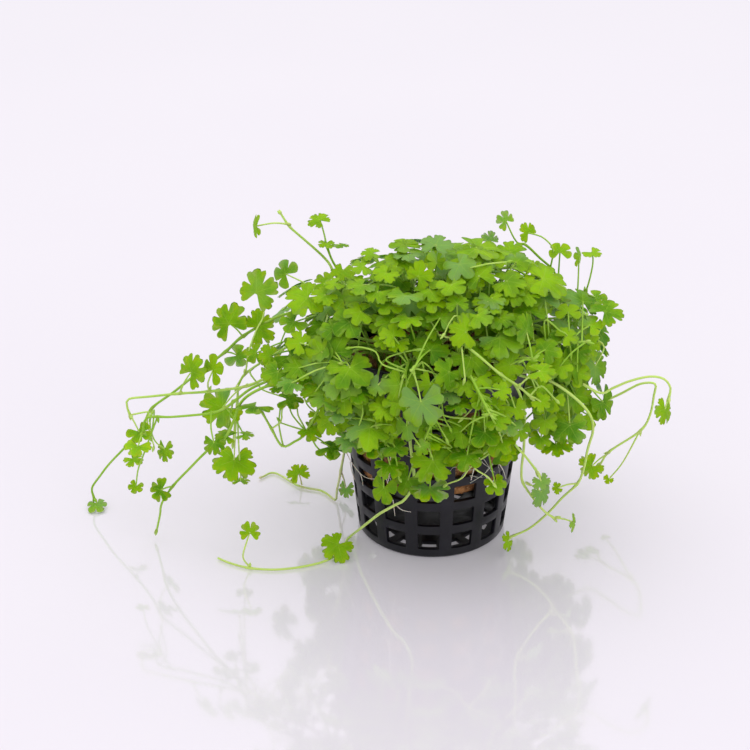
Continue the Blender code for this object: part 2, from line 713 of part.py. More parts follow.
def hub_below(middle):
    """Where the stem of a tuft ends, inside its leaves."""
    reach = math.hypot(middle.x, middle.y)
    if middle.z > POT_HEIGHT + HUB_ABOVE_RIM or reach < RIM_RADIUS:
        return CROWN_HEART + (middle - CROWN_HEART) * HUB_SHARE
    away = Vector((middle.x, middle.y, 0)).normalized()
    hub = away * max(reach - HUB_INSET, RIM_RADIUS + OUTSIDE_RIM)
    hub.z = min(middle.z + HUB_LIFT, POT_HEIGHT + HUB_HIGHEST)
    return hub


def grow_tuft(room, name, colour, leaves):
    """A short shoot that spreads its leaves on the dome, given as pixels."""
    places = [on_dome(leaf.u, leaf.v, TUFT_DEPTH) for leaf in leaves]
    hub = hub_below(sum(places, Vector()) / len(places))

    def make_route(shift, turn):
        end = hub - sight_line(leaves[0].u, leaves[0].v) * shift
        end += SIDEWAYS * ((turn * 2) % 5 - 2) * SIDE_STEP
        return from_plug(end, turn) + [end]

    route = grow_stem(room, name, make_route)
    if route is None:
        return None
    growth = Growth(room, name, colour, route)
    finish_tuft(room, growth, leaves)
    return growth


def finish_tuft(room, growth, leaves):
    """The leaves of a tuft, on petioles that leave its stem near the tip."""
    for i, leaf in enumerate(leaves):
        root = growth.balls[-1 - PETIOLE_SPACING * i]
        grow_photo_leaf(
            room, growth, leaf,
            lambda shift: on_dome(leaf.u, leaf.v, 1.0) - sight_line(leaf.u, leaf.v) * shift,
            root, lambda shift: ())


def grow_back_tuft(room, number, dice):
    """A short shoot on the far side of the crown, laid out by rule."""
    name = f"tuft_back_{number + 1:02d}"
    angle = math.radians(BACK_START + BACK_SWEEP * ((number + 0.5) / BACK_TUFTS))
    height = BACK_HEIGHTS[number % len(BACK_HEIGHTS)]
    flat = math.sqrt(1 - height ** 2)
    ray = Vector((math.cos(angle) * flat, math.sin(angle) * flat, height))
    middle = DOME_CENTRE + Vector([ray[i] * DOME_RADII[i] for i in range(3)]) * BACK_DEPTH
    hub = hub_below(middle)

    def make_route(shift, turn):
        end = hub + ray * shift * BACK_SHIFT_SHARE
        return from_plug(end, turn) + [end]

    route = grow_stem(room, name, make_route)
    if route is None:
        return None
    growth = Growth(room, name, LEAF_GREEN, route)
    for i in range(BACK_LEAVES):
        for _ in range(DEPTH_TRIES):
            way = 2 * math.pi * (i + dice.uniform(-BACK_FAN, BACK_FAN)) / BACK_LEAVES
            side = ray.orthogonal().normalized()
            spread = (side * math.cos(way) + ray.cross(side) * math.sin(way))
            place = middle + spread * dice.uniform(*BACK_SPREAD) * MM
            place += ray * dice.uniform(*BACK_OUT) * MM
            normal = (dome_normal(place) + Vector((0, 0, BACK_LIFT))).normalized()
            root = growth.balls[-1 - PETIOLE_SPACING * i]
            size = dice.uniform(*BACK_SIZES) * MM
            if grow_leaf(room, growth, place, root, (), frame_from(normal, place, root), size):
                break
    return growth


def grow_back_runner(room, name, angle, length, height):
    """A runner that hangs over the pot's far rim and trails on the table behind it."""
    away = Vector((math.cos(math.radians(angle)), math.sin(math.radians(angle)), 0))

    def make_route(shift, turn):
        side = Vector((-away.y, away.x, 0)) * shift * TRAIL_SHIFT_SHARE
        path = [(RIM_RADIUS - 1 * MM, POT_HEIGHT + 4 * MM), (RIM_RADIUS + 6 * MM, 50 * MM),
                (RIM_RADIUS + 8 * MM, 30 * MM), (RIM_RADIUS + 7 * MM, height * MM),
                (RIM_RADIUS + 12 * MM, 2 * MM), (RIM_RADIUS + length * TRAIL_LENGTH_SHARE * MM, TABLE_LIFT)]
        points = [away * reach + side + Vector((0, 0, z)) for reach, z in path]
        return from_plug(points[0], turn)[:2] + points

    route = grow_stem(room, name, make_route)
    growth = Growth(room, name, PALE_GREEN, route)
    for spot, drop, size in TRAIL_LEAVES:
        root = growth.joint_near(route[spot])
        for turn in TRAIL_TURNS:
            place = root + away * TRAIL_REACH * MM
            place += Vector((-away.y, away.x, 0)) * turn * TRAIL_REACH * MM
            place.z = max(root.z + drop * MM, TRAIL_LOWEST * MM)
            normal = (away * TRAIL_LEAN + Vector((0, 0, 1))).normalized()
            axes = frame_from(normal, place, root)
            if grow_leaf(room, growth, place, root, (), axes, size * MM):
                break
    return growth


def shoot_meshes(growth, blade, profile):
    """The meshes of a shoot: its stem first, then its petioles and leaves."""
    stem = tube_mesh(growth.name, profile, growth.stem, STEM_RADIUS, STEM_TIP)
    stem.materials.clear()
    stem.materials.append(material("finish_" + growth.name, growth.colour, STEM_ROUGHNESS))
    meshes = [stem]
    for i, petiole in enumerate(growth.petioles):
        name = f"{growth.name}_petiole_{i + 1}"
        if len(petiole) > 2:
            meshes.append(tube_mesh(name, profile, petiole, PETIOLE_RADIUS, PETIOLE_TAPER))
        else:
            meshes.append(rod_mesh(name, petiole[0], petiole[-1], PETIOLE_RADIUS))
    for i, (place, axes, size) in enumerate(growth.blades):
        mesh = blade.copy()
        mesh.name = f"{growth.name}_leaf_{i + 1}"
        turned = Matrix((axes[0] * size, axes[1] * size, axes[2] * LEAF_THICKNESS)).transposed()
        mesh.transform(Matrix.Translation(place) @ turned.to_4x4())
        meshes.append(mesh)
    return meshes


def join_shoot(collection, cutters, meshes):
    """One closed solid from the meshes of a shoot."""
    solid = link(collection, bpy.data.objects.new(meshes[0].name, meshes[0]))
    pieces = bpy.data.collections.new("pieces_" + meshes[0].name)
    cutters.children.link(pieces)
    for mesh in meshes[1:]:
        piece = link(pieces, bpy.data.objects.new(mesh.name, mesh))
        piece.hide_render = True
        piece.display_type = "WIRE"
    if len(meshes) > 1:
        join = solid.modifiers.new("grown together", "BOOLEAN")
        join.operation = "UNION"
        join.solver = "EXACT"
        join.operand_type = "COLLECTION"
        join.collection = pieces


def build_pot(collection):
    """The net pot: an open surface with its windows left out, given a wall by Solidify."""
    rows = [(BASE_SLOT_INNER, 0.0, False), (BASE_SLOT_OUTER, 0.0, True),
            (POT_BASE_RADIUS - POT_FOOT, 0.0, False), (pot_radius(POT_FOOT), POT_FOOT, False)]
    for row in range(WINDOW_ROWS):
        low = FIRST_WINDOW + WINDOW_PITCH * row
        rows.append((pot_radius(low), low, False))
        rows.append((pot_radius(low + WINDOW_HEIGHT), low + WINDOW_HEIGHT, True))
    shoulder = POT_HEIGHT - 2 * RIM_HEIGHT
    rows.append((pot_radius(shoulder), shoulder, False))
    rows.append((RIM_RADIUS, POT_HEIGHT - RIM_HEIGHT, False))
    rows.append((RIM_RADIUS, POT_HEIGHT, False))

    bm = bmesh.new()
    pitch = 2 * math.pi / WINDOW_COLUMNS
    turns = []
    for column in range(WINDOW_COLUMNS):
        middle = -math.pi / 2 + WINDOW_TURN + column * pitch
        turns.append(middle - pitch * WINDOW_SHARE / 2)
        turns.append(middle + pitch * WINDOW_SHARE / 2)
    rings = [[bm.verts.new((math.cos(turn) * radius, math.sin(turn) * radius, height))
              for turn in turns] for radius, height, _ in rows]
    count = len(turns)
    bm.faces.new(list(reversed(rings[0])))
    for row in range(1, len(rows)):
        for i in range(count):
            if rows[row][2] and i % 2 == 0:
                continue
            after = (i + 1) % count
            low, high = rings[row - 1], rings[row]
            bm.faces.new((low[i], low[after], high[after], high[i]))
    mesh = bpy.data.meshes.new("net_pot")
    bm.to_mesh(mesh)
    bm.free()
    mesh.materials.append(material("black plastic", POT_BLACK, PLASTIC_ROUGHNESS))
    pot = link(collection, bpy.data.objects.new("net_pot", mesh))
    wall = pot.modifiers.new("wall", "SOLIDIFY")
    wall.thickness = POT_WALL
    wall.offset = -1
    wall.use_even_offset = True
    return pot


def build_plug(collection):
    """The rockwool plug that holds the stems in the pot."""
    gap = POT_WALL + PLUG_GAP
    bm = bmesh.new()
    bmesh.ops.create_cone(
        bm, cap_ends=True, segments=PLUG_SIDES, radius1=pot_radius(PLUG_BOTTOM) - gap,
        radius2=pot_radius(PLUG_TOP) - gap, depth=PLUG_TOP - PLUG_BOTTOM)
    bmesh.ops.translate(bm, verts=bm.verts, vec=(0, 0, (PLUG_TOP + PLUG_BOTTOM) / 2))
    mesh = bpy.data.meshes.new("rockwool_plug")
    bm.to_mesh(mesh)
    bm.free()
    mesh.materials.append(material("brown rockwool", ROCKWOOL_BROWN, ROCKWOOL_ROUGHNESS))
    plug = link(collection, bpy.data.objects.new("rockwool_plug", mesh))
    edge = plug.modifiers.new("worn edge", "BEVEL")
    edge.width = PLUG_EDGE
    edge.segments = 1
    edge.limit_method = "ANGLE"
    edge.angle_limit = PLUG_EDGE_ANGLE
    return plug


def build_root(collection, profile, name, column, length):
    """A thin root from the plug, out through a window and down the pot's outside."""
    angle = -math.pi / 2 + WINDOW_TURN + (column - 2) * 2 * math.pi / WINDOW_COLUMNS
    away = Vector((math.cos(angle), math.sin(angle), 0))
    side = Vector((-away.y, away.x, 0))
    low = FIRST_WINDOW + WINDOW_PITCH * ROOT_ROW + WINDOW_HEIGHT / 2
    wall = pot_radius(low)
    falls = (ROOT_BEND[0][2], length * ROOT_BEND[1][2], length * ROOT_BEND[2][2])
    path = [(wall - POT_WALL - PLUG_GAP + ROOT_DEPTH, 0, low)]
    path += [(wall + out * MM, aside * MM, low - fall * MM)
             for (out, aside, _), fall in zip(ROOT_BEND, falls)]
    points = [away * reach + side * aside + Vector((0, 0, z)) for reach, aside, z in path]
    mesh = tube_mesh(name, profile, smooth_route(points, ROOT_STEP), ROOT_RADIUS, ROOT_TIP)
    mesh.materials.clear()
    mesh.materials.append(material("finish_" + name, ROOT_CREAM, ROOT_ROUGHNESS))
    return link(collection, bpy.data.objects.new(name, mesh))


def grow_all():
    """Lay out every shoot, first the stems that the photograph shows, then leaves and tufts."""
    room = Room()
    growths = []
    for shoot in RUNNERS:
        route = grow_stem(room, shoot.name, lambda shift, turn: route_for(shoot, shift, turn))
        if route is None:
            raise RuntimeError("no room for " + shoot.name)
        growths.append(Growth(room, shoot.name, shoot.colour, route))
    for shoot, growth in zip(RUNNERS, growths):
        grow_runner_leaves(room, growth, shoot)
    for name, leaves in TUFTS:
        growths.append(grow_tuft(room, name, LEAF_GREEN, leaves))
    for name, angle, length, height in BACK_RUNNERS:
        growths.append(grow_back_runner(room, name, angle, length, height))
    dice = random.Random(SEED)
    for number in range(BACK_TUFTS):
        growths.append(grow_back_tuft(room, number, dice))
    return [growth for growth in growths if growth and (growth.blades or len(growth.route) > 5)]


def main():
    """Build the whole potted plant."""
    for obj in list(bpy.data.objects):
        bpy.data.objects.remove(obj)
    collection = bpy.data.collections.new("pennywort")
    cutters = bpy.data.collections.new("cutters")
    bpy.context.scene.collection.children.link(collection)
    bpy.context.scene.collection.children.link(cutters)
    blade = leaf_mesh("leaf", leaf_outline())
    profile = link(cutters, stem_profile())
    shoots = [shoot_meshes(growth, blade, profile) for growth in grow_all()]
    for name, column, length in ROOT_WINDOWS:
        build_root(collection, profile, name, column, length)
    build_pot(collection)
    build_plug(collection)
    for meshes in shoots:
        join_shoot(collection, cutters, meshes)


main()
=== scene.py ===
"""Dresses a pennywort in its net pot: lobed leaves, runners, roots, rockwool and black plastic."""

import json
import logging
import math
import random
from collections.abc import Callable, Iterator, Sequence
from dataclasses import dataclass, field
from enum import Enum

import bmesh
import bpy
from mathutils import Matrix, Vector, noise
from mathutils.kdtree import KDTree

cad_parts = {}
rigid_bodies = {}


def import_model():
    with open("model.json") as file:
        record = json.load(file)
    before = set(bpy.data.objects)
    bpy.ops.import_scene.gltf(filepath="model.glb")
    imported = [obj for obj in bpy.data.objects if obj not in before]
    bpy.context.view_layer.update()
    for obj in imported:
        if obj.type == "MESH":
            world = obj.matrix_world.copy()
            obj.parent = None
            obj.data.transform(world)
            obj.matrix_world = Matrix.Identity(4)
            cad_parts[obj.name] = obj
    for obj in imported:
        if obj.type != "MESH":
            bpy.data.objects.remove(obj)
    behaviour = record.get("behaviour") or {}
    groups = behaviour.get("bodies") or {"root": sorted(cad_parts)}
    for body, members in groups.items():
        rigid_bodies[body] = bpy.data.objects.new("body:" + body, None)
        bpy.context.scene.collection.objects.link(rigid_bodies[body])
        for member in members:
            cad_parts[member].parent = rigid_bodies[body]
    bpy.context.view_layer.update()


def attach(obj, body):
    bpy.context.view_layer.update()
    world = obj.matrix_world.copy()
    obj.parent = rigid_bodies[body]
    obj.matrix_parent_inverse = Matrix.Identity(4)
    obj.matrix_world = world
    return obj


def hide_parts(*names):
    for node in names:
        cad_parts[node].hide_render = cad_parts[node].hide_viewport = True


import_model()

MM = 0.001
BODY = "root"
log = logging.getLogger("pennywort")
Colour = tuple[float, float, float]


@dataclass(frozen=True)
class View:
    """The view that the photograph was taken from, and what lies behind its pixels."""
    distance: float = 600.0 * MM
    width: float = 204.0 * MM
    pixels: int = 750
    tilt: float = math.radians(27)
    aim: Vector = field(default_factory=lambda: Vector((-15.8, 0.0, 46.0)) * MM)
    sensor: float = 36.0

    @property
    def backwards(self) -> Vector:
        """From the plant towards the eye."""
        return Vector((0, -math.cos(self.tilt), math.sin(self.tilt)))

    @property
    def upwards(self) -> Vector:
        """Up in the picture."""
        return Vector((0, math.sin(self.tilt), math.cos(self.tilt)))

    @property
    def eye(self) -> Vector:
        """Where the camera stands."""
        return self.aim + self.backwards * self.distance

    def sight_line(self, u: float, v: float) -> Vector:
        """Direction from the eye through a pixel of the photograph.

        Args:
            u: Pixels from the picture's left edge.
            v: Pixels from its top edge.

        Returns:
            The direction, one unit long.
        """
        pixel = self.width / self.pixels
        middle = self.pixels / 2
        across = SIDEWAYS * (u - middle) * pixel
        along = self.upwards * (middle - v) * pixel
        return (across + along - self.backwards * self.distance).normalized()

    def on_plane(self, u: float, v: float, out: float) -> Vector:
        """The point behind a pixel, out metres in front of the pot's axis."""
        line = self.sight_line(u, v)
        return self.eye + line * ((-out - self.eye.y) / line.y)

    def on_table(self, u: float, v: float, lift: float) -> Vector:
        """The point behind a pixel, lift metres above the table."""
        line = self.sight_line(u, v)
        return self.eye + line * ((lift - self.eye.z) / line.z)

    def on_dome(self, u: float, v: float, share: float) -> Vector:
        """The point behind a pixel on the crown's dome, shrunk to a share of its size."""
        line = self.sight_line(u, v)
        radii = DOME_RADII * share
        start = Vector([(self.eye[i] - DOME_CENTRE[i]) / radii[i] for i in range(3)])
        step = Vector([line[i] / radii[i] for i in range(3)])
        half = start.dot(step) / step.length_squared
        inside = half * half - (start.length_squared - 1) / step.length_squared
        return self.eye + line * (-half - math.sqrt(max(inside, 0.0)))

    def on_wall(self, u: float, v: float, lift: float) -> Vector:
        """The point behind a pixel, lift metres off the outside of the pot's wall."""
        line = self.sight_line(u, v)
        flat = line.x ** 2 + line.y ** 2
        half = self.eye.x * line.x + self.eye.y * line.y
        place = Vector((0, 0, POT.height / 2))
        for _ in range(WALL_ROUNDS):
            rest = self.eye.x ** 2 + self.eye.y ** 2 - (POT.radius(place.z) + lift) ** 2
            inside = max(half * half - flat * rest, 0.0)
            place = self.eye + line * ((-half - math.sqrt(inside)) / flat)
        return place

    def pixel_of(self, place: Vector) -> tuple[float, float]:
        """The pixel that a place is seen at."""
        line = place - self.eye
        away = line.dot(-self.backwards)
        scale = self.distance / away * self.pixels / self.width
        middle = self.pixels / 2
        return middle + line.dot(SIDEWAYS) * scale, middle - line.dot(self.upwards) * scale

    def real_size(self, pixels: float, place: Vector) -> float:
        """The real size of a span of pixels at a place."""
        away = (place - self.eye).dot(-self.backwards)
        return pixels * self.width / self.pixels * away / self.distance


SIDEWAYS = Vector((1, 0, 0))
DOME_CENTRE = Vector((-1.0, 0.0, 45.0)) * MM
DOME_RADII = Vector((50.0, 37.0, 44.0)) * MM
CROWN_HEART = Vector((0.0, 0.0, 50.0)) * MM
WALL_ROUNDS = 6
VIEW = View()

STEM_RADIUS = 0.6 * MM
PETIOLE_RADIUS = 0.28 * MM
LEAF_JOINT = 0.13
STEM_STEP = 13.0 * MM
STEM_TURN = math.radians(30)
BALL_STEP = 1.0 * MM
PETIOLE_SPACING = 2
TABLE_LIFT = 0.55 * MM
GAP = 0.3 * MM
BLADE_REACH = 0.7 * MM
DEPTH_STEP = 1.4 * MM
DEPTH_TRIES = 22
SIDE_STEP = 1.7 * MM
SEED = 11

# What only the finished plant has: small leaves closer together, which fill the crown
FINE_GAP = -0.35 * MM
FILL_SEED = 3
FILL_SHARES = (1.0, 0.84, 0.68)
FILL_TRIES = 150
FILL_LOWEST = -0.30
FILL_SIZES = (8.5 * MM, 12.5 * MM)
FILL_RISE = 0.55
FILL_HOSTS = 4
CROWN_MIDDLE = (455, 352)
CROWN_SPAN = (146, 106)
OPEN_SPOTS = ((352, 318, 392, 350), (360, 350, 392, 398), (442, 400, 478, 422))
TUFT_GROWTH = 1.22
RUNNER_GROWTH = 1.12


class Ground(Enum):
    """Where a route point lies when it isn't given as a depth."""
    TABLE = "table"


class Tone(Enum):
    """How yellow and bright a shoot is, from deep green to cream."""
    DEEP = 0.25
    BRIGHT = 0.6
    PALE = 0.9
    CREAM = 1.3


TABLE = Ground.TABLE


@dataclass(frozen=True)
class Leaf:
    """A leaf: its centre and size in photo pixels, and the route point its petiole leaves."""
    u: float
    v: float
    wide: float
    high: float
    spot: int = -1
    via: tuple = ()


@dataclass(frozen=True)
class Runner:
    """A stem along route points (u, v, millimetres in front of the pot's axis), with leaves.

    The extra leaves are the small ones that only the finished plant has.
    """
    name: str
    tone: Tone
    route: tuple
    leaves: tuple
    extra: tuple = ()


@dataclass(frozen=True)
class Tuft:
    """A short shoot of the crown, given by its leaves."""
    name: str
    leaves: tuple
    extra: tuple = ()


RUNNERS = (
    Runner("runner_left_bright", Tone.BRIGHT,
           ((372, 341, 12), (350, 335, 11), (330, 333, 10), (300, 341, 8), (285, 348, 8),
            (262, 362, 8), (245, 374, 8), (238, 385, 8)),
           (Leaf(234, 460, 43, 38, 7, ((237, 405), (235, 440))),
            Leaf(257, 292, 38, 42, 6, ((249, 351), (256, 331), (264, 313))),
            Leaf(330, 395, 38, 25, 3, ((311, 364), (320, 375)))),
           (Leaf(241, 481, 18, 7, 7, ((238, 430),)),
            Leaf(318, 415, 20, 18, 3, ((302, 365), (305, 400))))),
    Runner("runner_left_long", Tone.DEEP,
           ((318, 303, 4), (300, 310, 4), (275, 318, 3), (243, 336, 1), (225, 352, 0),
            (200, 371, -1), (175, 391, -2), (152, 408, -3), (143, 425, -4), (128, 444, -5),
            (110, 463, -6), (100, 476, -7), (92, 488, -8), (94, 498, -8)),
           (Leaf(229, 323, 36, 39, 3), Leaf(258, 328, 32, 35, 3), Leaf(237, 355, 28, 24, 4),
            Leaf(133, 459, 20, 12, 9), Leaf(165, 449, 18, 25, 7, ((150, 425), (155, 441))),
            Leaf(97, 504, 20, 13, 13))),
    Runner("runner_left_middle", Tone.BRIGHT,
           ((345, 338, 14), (325, 342, 14), (305, 358, 14), (290, 370, 13), (270, 376, 12),
            (247, 386, 11), (209, 391.5, 10), (180, 393.5, 9), (150, 396.5, 8), (129, 399, 7),
            (127, 406, 7), (130, 415, 7)),
           (Leaf(139, 432, 24, 22, 11), Leaf(213, 370, 22, 31, 6, ((208, 383),)),
            Leaf(191, 372, 27, 36, 7), Leaf(223, 407, 43, 40, 5))),
    Runner("runner_left_lower", Tone.DEEP,
           ((338, 347, 17), (322, 358, 17), (300, 367, 17), (275, 378, 17), (252, 388, 16.5),
            (237, 399, 16), (225, 408, 15.5), (212, 413, 15), (190, 415.5, 14), (170, 417, 13),
            (147, 418, 12), (143, 432, 12)),
           (Leaf(138, 447, 28, 18, 11), Leaf(136, 486, 15, 15, 11, ((143, 456), (138, 470))),
            Leaf(214, 443, 22, 24, 7, ((211, 428),)), Leaf(227, 436, 25, 14, 6)),
           (Leaf(244, 435, 20, 8, 6),)),
    Runner("runner_left_tip", Tone.DEEP,
           ((345, 350, 20), (325, 362, 20.5), (305, 373, 21), (275, 383, 21), (252, 393, 20),
            (240, 404, 19), (234, 420, 18.5), (227, 435, 18), (216, 446, 17), (207, 451, 16),
            (190, 468, 14), (173, 486, 12), (162, 503, 10), (160, 515, 9), (157, 529, 8)),
           (Leaf(161, 490, 23, 25, 11),)),
    Runner("runner_left_bent", Tone.DEEP,
           ((352, 352, 23), (338, 362, 24.5), (325, 395, 25), (306, 432, 22), (294, 442, 21),
            (282, 446, 20), (271, 428, 20), (262, 412, 20)),
           (Leaf(310, 430, 27, 20, 3), Leaf(330, 447, 33, 16, 3)),
           (Leaf(255, 407, 36, 10, 7), Leaf(288, 399, 28, 16, 6, ((281, 421), (282, 410))))),
    Runner("runner_top_left", Tone.BRIGHT,
           ((345, 285, -4), (328, 262, -5), (315, 249, -5), (300, 236, -5), (289, 226, -5),
            (281, 214, -5)),
           (Leaf(256, 226, 10, 23, 4, ((275, 223),)),)),
    Runner("shoot_top_left", Tone.DEEP,
           ((358, 300, -9), (345, 280, -9), (333, 262, -9), (327, 247, -9)),
           (Leaf(320, 220, 23, 17, 3), Leaf(343, 270, 24, 20, 1),
            Leaf(327, 282, 26, 22, 1)),
           (Leaf(327, 243, 17, 10, 3), Leaf(341, 245, 16, 6, 3))),
    Runner("runner_right_arch", Tone.BRIGHT,
           ((470, 290, -4), (490, 272, -4), (510, 267, -4), (520, 266, -4), (540, 277, -3),
            (560, 285, -2), (567, 292, -1), (563, 301, 0), (550, 310, 0)),
           (Leaf(543, 307, 22, 14, 8), Leaf(562, 293, 24, 14, 5), Leaf(533, 267, 22, 16, 3),
            Leaf(510, 252, 32, 25, 2))),
    Runner("runner_top_right", Tone.DEEP,
           ((480, 285, -12), (500, 262, -12), (515, 249, -12), (524, 244, -12), (540, 258, -12),
            (553, 270, -12), (558, 283, -12)),
           (Leaf(506, 221, 18, 20, 3, ((514, 238),)),
            Leaf(528, 233, 18, 21, 5, ((553, 250), (545, 239), (537, 235))),
            Leaf(560, 252, 22, 19, 6), Leaf(490, 240, 17, 18, 1))),
    Runner("shoot_right_top", Tone.DEEP,
           ((520, 325, -8), (540, 330, -8), (563, 325, -8), (577, 312, -8), (585, 295, -8)),
           (Leaf(592, 252, 21, 10, 4, ((590, 278), (593, 262))),
            Leaf(579, 258, 9, 20, 3, ((578, 285),)), Leaf(595, 297, 24, 15, 4),
            Leaf(577, 322, 24, 18, 2))),
    Runner("runner_right_middle", Tone.BRIGHT,
           ((500, 345, 12), (520, 350, 12), (543, 357, 12), (560, 355, 11), (572, 350, 10),
            (594, 338, 9)),
           (Leaf(605, 312, 35, 27, 5, ((601, 328),)), Leaf(595, 366, 29, 38, 5, ((604, 347),)),
            Leaf(553, 338, 25, 29, 3))),
    Runner("runner_right_far", Tone.PALE,
           ((520, 372, 6), (545, 368, 6), (575, 380, 6), (600, 393, 6), (613, 388, 6),
            (630, 381, 7), (650, 376.5, 8), (664, 379, 8), (670.5, 388, 8), (669, 397, 8)),
           (Leaf(665, 409, 19, 30, 9),)),
    Runner("runner_right_far_branch", Tone.PALE,
           ((520, 383, 1), (545, 380, 1), (575, 392, 1), (598, 402, 1), (618, 395, 2),
            (640, 384, 3), (655, 384, 4), (654, 395, 4), (650, 415, 5), (640, 431, 6),
            (610, 451, 7), (601, 463, 7)),
           (Leaf(592, 466, 25, 25, 10), Leaf(609, 479, 11, 11, 9, ((623, 462),)))),
    Runner("runner_right_front", Tone.PALE,
           ((522, 376, 22), (548, 380, 25), (575, 398, 25), (590, 415, 25), (593, 430, 24),
            (588, 448, 23), (583, 471, 21), (577, 484, 20), (562, 498, 19), (548, 513, 18),
            (530, 528, 18), (513, 536, 18)),
           (Leaf(508, 541, 11, 20, 11),),
           (Leaf(558, 488, 12, 12, 7),)),
    Runner("runner_right_inner", Tone.PALE,
           ((498, 372, 26), (515, 385, 30), (524, 410, 30), (524, 445, 29), (521.5, 470, 28),
            (523, 483, 27), (533, 498, 26), (544, 511, 25), (554, 518, 24)),
           (Leaf(573, 522, 8, 18, 8), Leaf(541, 492, 22, 30, 5))),
    Runner("runner_front_long", Tone.BRIGHT,
           ((465, 345, 20), (470, 365, 28), (484, 400, 34), (490, 410, 34), (505, 430, 34),
            (517, 447, 34), (525, 456, 34), (536, 470, 34)),
           (Leaf(541, 481, 18, 18, 7), Leaf(500, 440, 33, 30, 4))),
    Runner("runner_front_right", Tone.BRIGHT,
           ((452, 336, 16), (465, 345, 24), (480, 357, 27), (500, 374, 28), (518, 386, 28),
            (530, 396, 28)),
           (Leaf(541, 402, 20, 18, 5), Leaf(515, 408, 26, 24, 3), Leaf(540, 371, 30, 18, 4))),
    Runner("runner_table_front", Tone.PALE,
           ((412, 368, 26), (408, 395, 32), (410, 440, 30), (414, 480, 28), (405, 499, 27),
            (395, 505, 26), (380, 513.5, 22), (370, 521, 19), (360, 529, 15.5),
            (350, 537, TABLE), (341, 551, TABLE), (325, 561, TABLE), (300, 567, TABLE),
            (275, 569.5, TABLE), (250, 568, TABLE), (230, 563, TABLE), (218, 558, TABLE)),
           (Leaf(338, 545, 38, 34, 10), Leaf(250, 532, 21, 21, 14, ((243, 557), (247, 541))))),
    Runner("runner_table_left", Tone.CREAM,
           ((345, 296, -8), (326, 325, -13), (330, 360, -15), (340, 400, -15), (345, 440, -13),
            (341, 470, -13), (337, 490, -14), (335, 500, TABLE), (322, 491, TABLE),
            (299, 486, TABLE), (275, 473, TABLE), (262, 477, TABLE)),
           (Leaf(299, 474, 22, 20, 9), Leaf(346, 488, 15, 20, 5))),
)

TUFTS = (
    Tuft("tuft_front_left", (Leaf(370, 428, 45, 35), Leaf(390, 465, 29, 22),
                             Leaf(384, 488, 22, 30)), (Leaf(421, 447, 16, 18),)),
    Tuft("tuft_front", (Leaf(433, 460, 41, 40), Leaf(408, 480, 27, 28), Leaf(430, 488, 36, 22))),
    Tuft("tuft_front_right", (Leaf(460, 432, 32, 30), Leaf(485, 432, 32, 28),
                              Leaf(467, 455, 30, 24), Leaf(495, 483, 21, 19)),
         (Leaf(510, 425, 22, 18),)),
    Tuft("tuft_right_hanging", (Leaf(556, 445, 29, 18), Leaf(545, 420, 24, 22)),
         (Leaf(541, 438, 20, 18),)),
    Tuft("tuft_top_left", (Leaf(372, 253, 20, 12), Leaf(360, 285, 26, 20)),
         (Leaf(364, 266, 22, 16), Leaf(335, 283, 20, 12), Leaf(385, 265, 16, 10))),
    Tuft("tuft_top_middle", (Leaf(404, 245, 28, 14), Leaf(394, 266, 18, 14)),
         (Leaf(378, 292, 26, 20), Leaf(408, 254, 25, 11), Leaf(400, 295, 24, 18))),
    Tuft("tuft_top", (Leaf(436, 245, 31, 23), Leaf(418, 276, 24, 27)),
         (Leaf(437, 262, 20, 21), Leaf(450, 285, 24, 20), Leaf(432, 300, 26, 18))),
    Tuft("tuft_top_right", (Leaf(462, 257, 24, 16), Leaf(480, 264, 26, 20)),
         (Leaf(452, 285, 28, 20), Leaf(472, 280, 24, 20))),
    Tuft("tuft_upper_right", (Leaf(510, 292, 28, 24), Leaf(527, 284, 24, 18)),
         (Leaf(488, 302, 28, 22), Leaf(500, 318, 26, 20))),
    Tuft("tuft_upper_left", (Leaf(286, 274, 23, 27), Leaf(308, 298, 38, 32)),
         (Leaf(294, 322, 27, 20), Leaf(325, 295, 24, 18))),
    Tuft("tuft_left_front", (Leaf(335, 352, 34, 38), Leaf(350, 368, 43, 35),
                             Leaf(355, 389, 38, 25)), (Leaf(340, 412, 28, 20),)),
    Tuft("tuft_left_low", (Leaf(290, 355, 33, 35), Leaf(305, 379, 24, 18)),
         (Leaf(272, 372, 20, 22), Leaf(256, 353, 20, 18))),
    Tuft("tuft_centre_left", (Leaf(390, 322, 28, 22), Leaf(398, 342, 24, 18)),
         (Leaf(360, 312, 28, 22), Leaf(390, 305, 26, 18))),
    Tuft("tuft_centre_low", (Leaf(400, 385, 35, 35), Leaf(407, 426, 21, 28)),
         (Leaf(384, 407, 26, 24), Leaf(378, 385, 22, 20))),
    Tuft("tuft_centre", (Leaf(430, 350, 36, 30), Leaf(421, 402, 40, 44)),
         (Leaf(440, 318, 28, 22), Leaf(446, 380, 26, 24))),
    Tuft("tuft_centre_right", (Leaf(466, 332, 30, 32), Leaf(500, 338, 40, 32)),
         (Leaf(489, 350, 15, 15), Leaf(478, 316, 26, 20))),
    Tuft("tuft_right_inner", (Leaf(526, 330, 18, 30), Leaf(510, 365, 30, 30),
                              Leaf(531, 358, 24, 22)), (Leaf(540, 388, 24, 20),)),
    Tuft("tuft_right_outer", (Leaf(560, 366, 26, 22), Leaf(578, 352, 24, 22),
                              Leaf(590, 325, 24, 18)), (Leaf(566, 336, 22, 18),)),
    Tuft("tuft_right_low", (Leaf(575, 395, 32, 35), Leaf(570, 426, 34, 33),
                            Leaf(603, 402, 22, 33)), (Leaf(552, 400, 24, 22),)),
)

